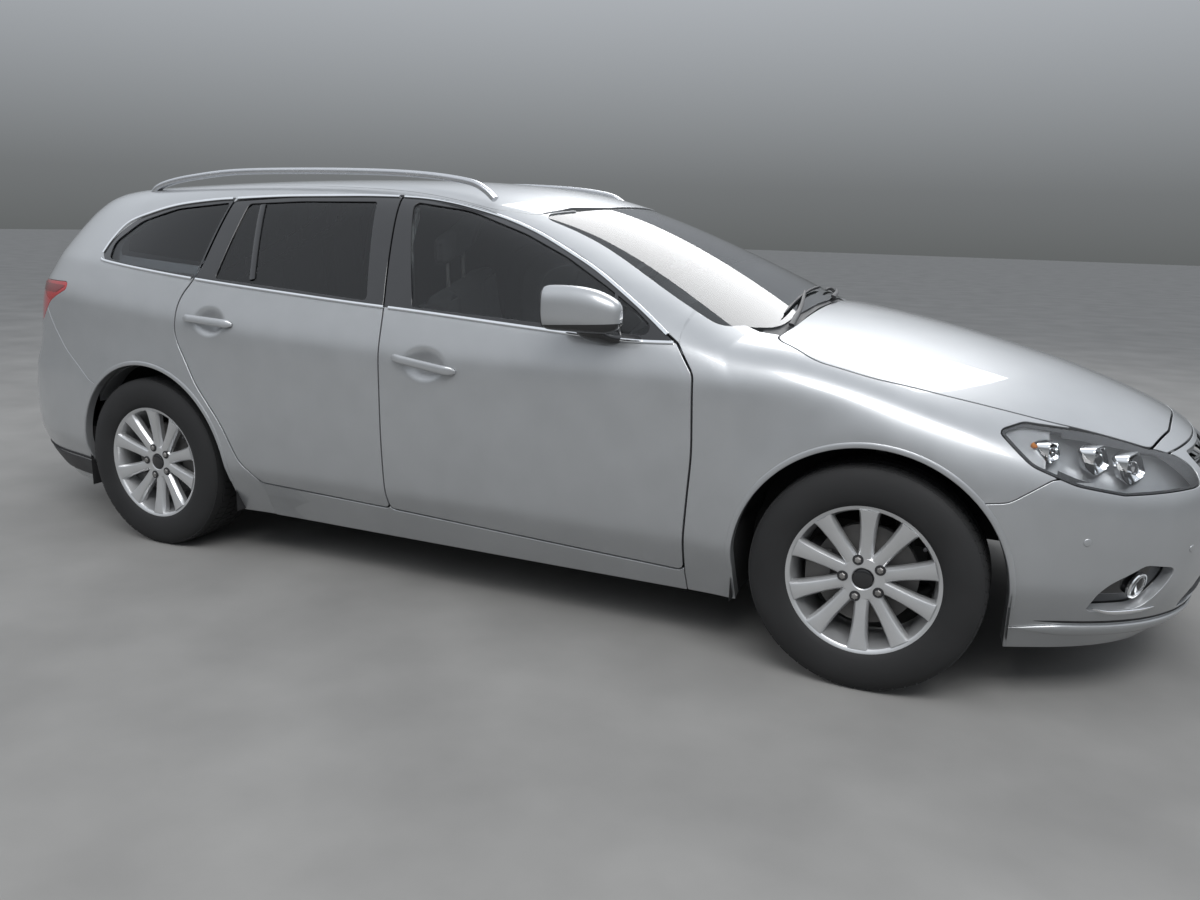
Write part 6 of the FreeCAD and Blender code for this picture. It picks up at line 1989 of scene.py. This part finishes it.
@dataclass
class Rear(Maker):
    """Tail lamps' inner parts, the bright bar, wiper and bumper pieces."""

    skins: Skins
    strip_points: int = 70
    # The tailgate's lamp seen from behind. Columns: y, z, corner radius.
    gate_lamp: Outline = ((-594, 1004, 14), (-594, 878, 10), (-470, 884, 30), (-432, 950, 20), (-452, 998, 20))
    wiper_line: Table = ((0, 1064), (-110, 1078), (-250, 1096), (-330, 1102))
    wiper_foot: Table = ((6, 26), (-10, 25), (-20, 18), (-22, 0.5))
    skirt_angle: float = 62.0
    # A parking sensor and the exhaust's tip. Columns: y, radius.
    sensor: Table = ((2, 11), (-0.6, 11), (-1.6, 10), (-2, 8.5), (-2.1, 0.5))
    exhaust_tip: Table = ((0, 38), (210, 38), (212, 36), (212, 34), (10, 34), (0, 33))
    exhaust_at: tuple[float, float, float] = (-2122, 500, 224)

    def strip(self, name: str, ends: tuple[float, float], z: float, section: Array, lift: float, finish: str,
              body: str = "shell", slot: str = "") -> None:
        """A level strip across the tail.

        Args:
            name: of the piece.
            ends: its ends' y.
            z: its height.
            section: columns across and out.
            lift: height over the surface.
            finish: the name of its finish.
            body: the body it rides on.
            slot: the material slot it shows, its finish's name where none is given.
        """
        y = np.linspace(*ends, self.strip_points)
        path, normals = on_form(np.stack((y, np.full_like(y, z)), 1), View.TAIL, BODY.upper, lift)
        share = np.linspace(0, 1, self.strip_points)
        taper = np.clip(np.minimum(share, share[::-1]) * 24, 0.2, 1)
        self.put(Shape().sweep(path, normals, section, taper), name, finish, body, slot)

    def build(self) -> None:
        """Makes the rear's pieces."""
        self.lamps()
        self.gate_pieces()
        self.bumper()
        self.brake_lamp()

    def lamps(self) -> None:
        """The tailgate's share of the lamps, and the dark upper band of the outer ones."""
        lens = self.skins.back.cut(within(self.gate_lamp, Plane.FRONT)).shifted(-1.5)
        self.pair(lens.rolled(1.5, 4, 2), "gate_lens", "red_lens", "tailgate")
        for name, z, wide in (("brake", 968, 34), ("tail", 915, 20)):
            y = np.linspace(-582, -456, 24)
            path, normals = on_form(np.stack((y, np.full_like(y, z)), 1), View.TAIL, BODY.upper, 2.4)
            bar = Shape().sweep(path, normals, oval(wide, 3, 12, 4))
            self.both(bar, "gate_lamp_" + name, "dark_red", "red_lens", "tailgate")
        dark = self.skins.tail.cut(grown(self.skins.tail_lamp, -14), beyond(2, 968.0)).shifted(-1.2)
        self.pair(dark, "tail_lamp_top", "dark_red", "shell", "red_lens")

    def gate_pieces(self) -> None:
        """The tailgate's bright bar, handle and wiper."""
        self.strip("gate_bar", (-425, 425), 903, oval(24, 12, 16, 2.6), 3.0, "chrome", "tailgate", "bright_trim")
        self.strip("gate_handle", (-130, 130), 878, oval(20, 10, 12, 3), -1.0, "gloss_black", "tailgate",
                   "black_plastic")
        line = smooth_line(self.wiper_line, 12)
        path, normals = on_form(line, View.TAIL, BODY.upper, 14.0)
        wiper = Shape().sweep(path, normals, oval(17, 9, 12, 3), np.linspace(1.2, 0.6, len(path)))
        point, normal = on_form(np.array(((0.0, 1064.0),)), View.TAIL, BODY.upper, 0.0)
        wiper.join(Shape().lathe(self.wiper_foot, 30).turned(facing(normal[0]), point[0]))
        self.put(wiper, "rear_wiper", "black_plastic", "tailgate")
        self.strip("rear_blade", (-380, -60), 1102, oval(9, 12, 10, 2.6), 7.0, "black_plastic", "tailgate")

    def bumper(self) -> None:
        """The rear bumper's reflectors, skirt, sensors and the exhaust's tip."""
        for side, sign in (("right", 1), ("left", -1)):
            self.strip("reflector_" + side, (-690 * sign, -590 * sign), 388, oval(38, 6, 14, 4), 1.5, "red_lens")
        angles = np.linspace(180 - self.skirt_angle, 180 + self.skirt_angle, 140)
        for name, z, wide, finish in (("rear_skirt", 236, 92, "black_plastic"), ("rear_line", 292, 9, "liner")):
            path, normals = around(BODY.upper, self.skins.tail_axis_x, angles, z, 0.5)
            fade = np.clip((self.skirt_angle - np.abs(angles - 180)) / 7, 0.2, 1)
            self.put(Shape().sweep(path, normals, oval(wide, 9, 18, 3.4), fade), name, finish, "shell", finish)
        sensors = dots(((-640, 470), (-230, 486)), View.TAIL, BODY.upper, self.sensor)
        self.both(sensors, "rear_sensors", "paint", "paint")
        tip = Shape().lathe(self.exhaust_tip, 48, closed=True)
        out = np.array(((0.0, -1.0, 0.0), (1.0, 0.0, 0.0), (0.0, 0.0, 1.0)))
        self.put(tip.turned(out, self.exhaust_at), "exhaust_tip", "chrome", "shell", "bare_steel")

    def brake_lamp(self) -> None:
        """The high brake lamp over the tailgate's glass."""
        brake = smooth_line(((-150, 1343), (0, 1349), (150, 1343)), 12)
        path, normals = on_form(brake, View.TAIL, BODY.upper, 1.0)
        self.put(Shape().sweep(path, normals, oval(14, 7, 12, 3.4)), "high_brake_lamp", "red_lens", "tailgate")


@dataclass
class Cabin(Maker):
    """Seats, steering wheel, dashboard details and the roof lining."""

    skins: Skins
    seat_y: float = 370.0
    cushion_half: float = 245.0
    back_half: float = 230.0
    headrest_half: float = 130.0
    bench_headrest_y: float = 360.0
    bench_headrest_half: float = 110.0
    post_y: float = 70.0
    runner_y: float = 190.0
    softness: float = 0.8
    channel_depth: float = 4.5
    crown_height: float = 7.0
    seam_depth: float = 5.0
    steering_rake: float = 24.0
    steering_centre: tuple[float, float, float] = (455.0, -370.0, 905.0)
    steering_radius: float = 185.0
    lining_depth: float = 34.0
    # Bench places: name, right edge, left edge.
    bench_places: tuple[tuple[str, float, float], ...] = (
        ("right", -534.0, -184.0), ("middle", -178.0, 178.0), ("left", 184.0, 534.0))
    # Side views of the pads. Columns: x, z, corner radius.
    cushion: Table = (
        (-30, 306, 40), (478, 342, 55), (494, 462, 42), (150, 420, 200), (22, 420, 50))
    back: Table = (
        (-52, 352, 50), (92, 372, 50), (10, 700, 500), (-84, 1000, 55), (-190, 990, 50), (-130, 640, 400))
    headrest: Table = (
        (-200, 1062, 28), (-120, 1070, 34), (-134, 1190, 36), (-217, 1182, 34))
    bench: Table = (
        (-880, 372, 20), (-610, 372, 20), (-596, 390, 20), (-428, 392, 30), (-412, 490, 38), (-840, 456, 40))
    bench_back: Table = (
        (-950, 412, 40), (-842, 430, 40), (-1016, 988, 46), (-1108, 980, 42))
    bench_rest: Table = (
        (-1128, 1034, 22), (-1042, 1042, 32), (-1058, 1142, 34), (-1132, 1134, 26))

    def pad(self, outline: Outline, low: float, high: float, front: tuple[float, float], bolster: float,
            channels: Sequence[float], inset: float = 34.0) -> Shape:
        """A crowned cushion with side bolsters and sewn channels.

        Args:
            outline: its side view.
            low: its right edge.
            high: its left edge.
            front: the direction its upper face looks in, in x and z.
            bolster: how far its sides stand over its middle.
            channels: places of the sewn lines across it, as shares of its length.
            inset: how far its sides pull in at the corners.

        Returns:
            The closed form.
        """
        line = rounded(outline, 9.0)
        line = smooth_line(line, 13.0, closed=True)[:-1]
        run = unit(np.roll(line, -1, axis=0) - np.roll(line, 1, axis=0))
        out = np.stack((run[:, 1], -run[:, 0]), 1)
        centre = line.mean(0)
        if ((line - centre) * out).sum() < 0:
            out = -out
        ahead = np.array(front) / math.hypot(*front)
        top = np.clip(out @ ahead, 0, 1) ** 2
        level = (line - centre) @ np.array((-ahead[1], ahead[0]))
        share = (level - level.min()) / (level.max() - level.min())
        rings = []
        for s in np.sin(np.linspace(-math.pi / 2, math.pi / 2, 37)):
            a = abs(s)
            pull = inset * (1 - math.sqrt(max(0.0, 1 - max(0.0, (a - 0.72) / 0.28) ** 2)))
            rise = bolster * np.clip((a - 0.5) / 0.25, 0, 1) * np.clip((1.05 - a) / 0.2, 0, 1)
            seam = self.seam_depth * math.exp(-((a - 0.52) * (high - low) / 2 / 6) ** 2)
            crown = self.crown_height * (1 - a * a)
            sewn = sum(self.channel_depth * np.exp(-((share - at) * np.ptp(level) / 7) ** 2) for at in channels)
            sewn = sewn * (a < 0.52)
            move = -pull - 7 + top * (rise - seam + crown - sewn)
            ring = line + out * move[:, None]
            y = (low + high) / 2 + s * (high - low) / 2
            rings.append(np.stack((ring[:, 0], np.full(len(ring), y), ring[:, 1]), 1))
        for end, sign in ((0, -1), (-1, 1)):
            edge = rings[end]
            middle = edge.mean(0)
            for scale, bulge in ((0.9, 1.5), (0.6, 3.0), (0.25, 3.6)):
                cap = middle + (edge - middle) * scale + np.array((0, -sign * (4 - bulge), 0))
                rings = [cap] + rings if end == 0 else rings + [cap]
        return Shape().loft(rings)

    def soft(self, shape: Shape, name: str, *nodes: str) -> None:
        """Puts a padded piece in the cabin.

        Args:
            shape: its form.
            name: of the piece.
            nodes: the CAD nodes it stands for.
        """
        piece = shape.build(name, self.finishes["cloth"], 60)
        place(piece, "shell", "cloth", *nodes)

    def seats(self) -> None:
        """Front seats and the rear bench."""
        hard = Shape()
        half, back, rest = self.cushion_half, self.back_half, self.headrest_half
        for side, middle in (("right", -self.seat_y), ("left", self.seat_y)):
            nodes = ("seats",) if side == "right" else ()
            self.soft(self.pad(self.cushion, middle - half, middle + half, (0, 1), 20, (0.35, 0.62)),
                      "seat_cushion_" + side, *nodes)
            self.soft(self.pad(self.back, middle - back, middle + back, (1, 0.25), 26, (0.3, 0.52, 0.74)),
                      "seat_back_" + side)
            self.soft(self.pad(self.headrest, middle - rest, middle + rest, (1, 0.1), 0, (), 26), "headrest_" + side)
            self.posts(hard, middle, self.post_y, ((-140, 985), (-156, 1070)), 15)
            for offset in (-self.runner_y, self.runner_y):
                hard.block((0, middle + offset - 20, 224), (440, middle + offset + 20, 318))
        for name, low, high in self.bench_places:
            self.soft(self.pad(self.bench, low, high, (0, 1), 8, (0.45,)), "bench_cushion_" + name)
            self.soft(self.pad(self.bench_back, low, high, (1, 0.3), 8, (0.35, 0.65)), "bench_back_" + name)
        rest = self.bench_headrest_half
        for name, middle in (("right", -self.bench_headrest_y), ("middle", 0.0), ("left", self.bench_headrest_y)):
            self.soft(self.pad(self.bench_rest, middle - rest, middle + rest, (1, 0.1), 0, (), 22),
                      "bench_headrest_" + name)
            self.posts(hard, middle, self.post_y - 10, ((-1066, 965), (-1082, 1045)), 13)
        self.put(hard, "seat_posts_and_rails", "bare_steel", "shell", "black_plastic", sharp=32, bevel=1.0)

    @staticmethod
    def posts(hard: Shape, middle: float, apart: float, ends: Table, width: float) -> None:
        """Adds a head rest's two posts.

        Args:
            hard: the shape they are added to.
            middle: the head rest's y.
            apart: half the distance between them.
            ends: the x and z of their foot and top.
            width: of each post.
        """
        for offset in (-apart, apart):
            path = np.array([(x, middle + offset, z) for x, z in ends], float)
            hard.sweep(path, np.tile((0.0, 1.0, 0.0), (2, 1)), oval(width, width, 14, 2))

    def controls(self) -> None:
        """The steering wheel, and on the dashboard its hood, screen and vents."""
        rake = math.radians(self.steering_rake)
        axis = np.array((-math.cos(rake), 0, math.sin(rake)))
        up = np.array((math.sin(rake), 0, math.cos(rake)))
        side = np.array((0.0, 1.0, 0.0))
        centre = np.array(self.steering_centre)
        turn = np.linspace(0, 2 * math.pi, 97)[:-1]
        ring = centre + self.steering_radius * (np.outer(np.cos(turn), up) + np.outer(np.sin(turn), side))
        wheel = Shape().sweep(ring, np.tile(axis, (96, 1)), oval(28, 27, 18, 2), ring=True)
        self.put(wheel, "steering_rim", "black_plastic", "steering_wheel", "black_plastic",
                 "steering_wheel")
        spokes = Shape()
        for direction, wide in ((side, 44), (-side, 44), (-up, 38)):
            at = np.array((45.0, 90.0, 140.0, 178.0))
            path = centre - axis * np.array((30, 26, 18, 4))[:, None] + at[:, None] * direction
            spokes.sweep(path, np.tile(axis, (4, 1)), oval(wide, 16, 16, 3), np.array((1.2, 0.95, 0.8, 0.85)))
        boss = [[centre + axis * depth + up * b * k + side * a * k for a, b in oval(150, 132, 40, 2.8)]
                for depth, k in ((-52, 0.5), (-46, 0.86), (-30, 1.0), (-14, 0.97), (-5, 0.84), (-1, 0.55), (0, 0.05))]
        spokes.loft(boss)
        self.put(spokes, "steering_boss", "gloss_black", "steering_wheel", "black_plastic")
        hood = Shape()
        y = np.linspace(-560, -180, 40)
        rise = 46 * np.sqrt(np.clip(1 - ((y + 370) / 190) ** 2, 0, 1))
        rings = [[(700 + x * (1 - 0.1 * (r < 5)), one, 952 + r * k) for x, k in
                  ((60, 0.1), (20, 0.9), (-40, 1.1), (-92, 1.0), (-96, 0.86), (-60, 0.8), (-10, 0.7))]
                 for one, r in zip(y, rise)]
        hood.loft(rings)
        self.put(hood, "dash_hood", "black_plastic")
        screen = Shape().block((598, -92, 862), (606, 92, 958))
        self.put(screen, "dash_screen", "gloss_black", "shell", "black_plastic", sharp=30, bevel=3.0)
        vents = Shape()
        for y_, z in ((-640, 868), (-140, 868), (140, 868), (640, 868)):
            path = np.array(((640, y_, z), (598, y_, z)), float)
            vents.sweep(path, np.tile((0.0, 0.0, 1.0), (2, 1)), oval(92, 62, 28, 3.4))
        self.put(vents, "dash_vents", "gloss_black", "shell", "black_plastic", sharp=32, bevel=2.0)
        lever = smooth_line(((330, 0, 520), (322, 0, 560), (310, 0, 610)), 8)
        knob = Shape().sweep(lever, np.tile((1.0, 0.0, 0.0), (len(lever), 1)), oval(40, 46, 20, 2.4),
                             np.linspace(0.55, 1.1, len(lever)))
        self.put(knob, "gear_lever", "black_plastic")

    def lining(self) -> None:
        """The roof's lining, the inner mirror and the parcel cover."""
        self.put(self.skins.roof.shifted(self.lining_depth).flipped(), "roof_lining", "headlining", "shell", "liner")
        mirror = Shape().loft([[(x, a * k, 1268 + b * k) for a, b in oval(240, 72, 40, 3)]
                               for x, k in ((292, 0.9), (296, 1.0), (312, 0.98), (326, 0.6))])
        self.put(mirror, "inner_mirror", "black_plastic")
        stem = Shape().sweep(np.array(((318, 0, 1280), (352, 0, 1340)), float), np.tile((0.0, 1.0, 0.0), (2, 1)),
                             oval(24, 24, 16, 2))
        self.put(stem, "inner_mirror_stem", "black_plastic")
        cover = Shape().block((-2030, -560, 996), (-1150, 560, 1002))
        self.put(cover, "load_cover", "cloth", sharp=30, bevel=2.0)

    def build(self) -> None:
        """Makes the cabin's pieces."""
        self.seats()
        self.controls()
        self.lining()


@dataclass
class Studio:
    """Camera, floor and lights, in metres and radians. None of them belongs to the wagon."""

    eye: tuple[float, float, float] = (1.8122, -3.5859, 1.2973)
    yaw: float = 0.4189
    pitch: float = -0.2266
    roll: float = 0.028
    focal_length: float = 29.26
    floor_half: float = 60.0
    floor: Finish = Finish("floor", (0.20, 0.197, 0.19), roughness=0.9, tint=0.12, patch_scale=2.0)
    sky_strength: float = 0.9
    # The sky's tones. Columns: height, colour.
    sky: tuple[tuple[float, tuple[float, ...]], ...] = (
        (0.46, (0.09, 0.095, 0.09, 1)), (0.52, (0.19, 0.20, 0.205, 1)), (0.74, (0.88, 0.93, 1.0, 1)))
    # Lamps: name, place, aim, width, power.
    lamps: tuple[tuple[str, tuple[float, ...], tuple[float, ...], float, float], ...] = (
        ("key", (3.0, -4.5, 6.5), (0.5, 0, 0.6), 6.0, 420.0),
        ("fill", (-6.0, -5.0, 4.5), (-0.5, 0, 0.7), 5.0, 200.0),
        ("back", (0.0, 6.0, 6.0), (0, 0, 0.8), 6.0, 260.0))

    def build(self) -> None:
        """Sets up the view and the light."""
        self.set_camera()
        self.set_floor()
        self.set_sky()
        self.set_lamps()

    def set_camera(self) -> None:
        """The camera at the picture's angle."""
        scene = bpy.context.scene
        camera = bpy.data.cameras.new("camera")
        camera.lens = self.focal_length
        camera.sensor_width = 36.0
        view = bpy.data.objects.new("camera", camera)
        forward = Vector((-math.sin(self.yaw) * math.cos(self.pitch), math.cos(self.yaw) * math.cos(self.pitch),
                          math.sin(self.pitch)))
        right = forward.cross(Vector((0, 0, 1))).normalized()
        up = right.cross(forward)
        turned_right = right * math.cos(self.roll) + up * math.sin(self.roll)
        turned_up = up * math.cos(self.roll) - right * math.sin(self.roll)
        matrix = Matrix((turned_right, turned_up, -forward)).transposed().to_4x4()
        matrix.translation = Vector(self.eye)
        view.matrix_world = matrix
        scene.collection.objects.link(view)
        scene.camera = view
        scene.view_settings.view_transform = "Standard"

    def set_floor(self) -> None:
        """The plain floor."""
        mesh = bpy.data.meshes.new("floor")
        size = self.floor_half
        mesh.from_pydata([(-size, -size, 0), (size, -size, 0), (size, size, 0), (-size, size, 0)], [],
                         [(0, 1, 2, 3)])
        floor = bpy.data.objects.new("floor", mesh)
        mesh.materials.append(self.floor.make())
        bpy.context.scene.collection.objects.link(floor)

    def set_sky(self) -> None:
        """A soft sky, darker under the horizon."""
        world = bpy.data.worlds.new("sky")
        bpy.context.scene.world = world
        world.use_nodes = True
        tree = world.node_tree
        background = tree.nodes["Background"]
        ramp = tree.nodes.new("ShaderNodeValToRGB")
        low, horizon, high = self.sky
        tones = ramp.color_ramp.elements
        tones[0].position, tones[0].color = low
        tones[1].position, tones[1].color = high
        tones.new(horizon[0]).color = horizon[1]
        spot = tree.nodes.new("ShaderNodeTexCoord")
        split = tree.nodes.new("ShaderNodeSeparateXYZ")
        scale = tree.nodes.new("ShaderNodeMath")
        scale.operation = "MULTIPLY_ADD"
        scale.inputs[1].default_value = 0.5
        scale.inputs[2].default_value = 0.5
        tree.links.new(spot.outputs["Generated"], split.inputs[0])
        tree.links.new(split.outputs["Z"], scale.inputs[0])
        tree.links.new(scale.outputs[0], ramp.inputs[0])
        tree.links.new(ramp.outputs[0], background.inputs["Color"])
        background.inputs["Strength"].default_value = self.sky_strength

    def set_lamps(self) -> None:
        """Three wide lamps; the fill isn't seen in gloss."""
        for name, at, to, width, power in self.lamps:
            data = bpy.data.lights.new(name, "AREA")
            data.shape = "RECTANGLE"
            data.size = width
            data.size_y = width * 0.5
            data.energy = power
            lamp = bpy.data.objects.new(name, data)
            lamp.location = at
            lamp.rotation_euler = (Vector(to) - Vector(at)).to_track_quat("-Z", "Y").to_euler()
            lamp.visible_glossy = name != "fill"
            bpy.context.scene.collection.objects.link(lamp)


def paint_cad(finishes: Finishes) -> None:
    """Gives the CAD nodes that stay in view their finish.

    Args:
        finishes: the wagon's finishes.
    """
    slots = {entry["node"]: entry["material_slot"] for entry in frame["record"]["subparts"]}
    for node, piece in frame["nodes"].items():
        piece.data.materials.clear()
        piece.data.materials.append(finishes["gloss_black" if node == "grilles" else slots[node]])


def main() -> None:
    """Builds the wagon's looks on its frame."""
    logging.basicConfig(level=logging.INFO)
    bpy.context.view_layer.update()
    finishes = Finishes()
    paint_cad(finishes)
    skins = Skins(finishes)
    skins.build()
    for maker in (Trim(finishes), RoadWheel(finishes), Nose(finishes, skins), Rear(finishes, skins),
                  Cabin(finishes, skins), Studio()):
        maker.build()


if __name__ == "__main__":
    main()
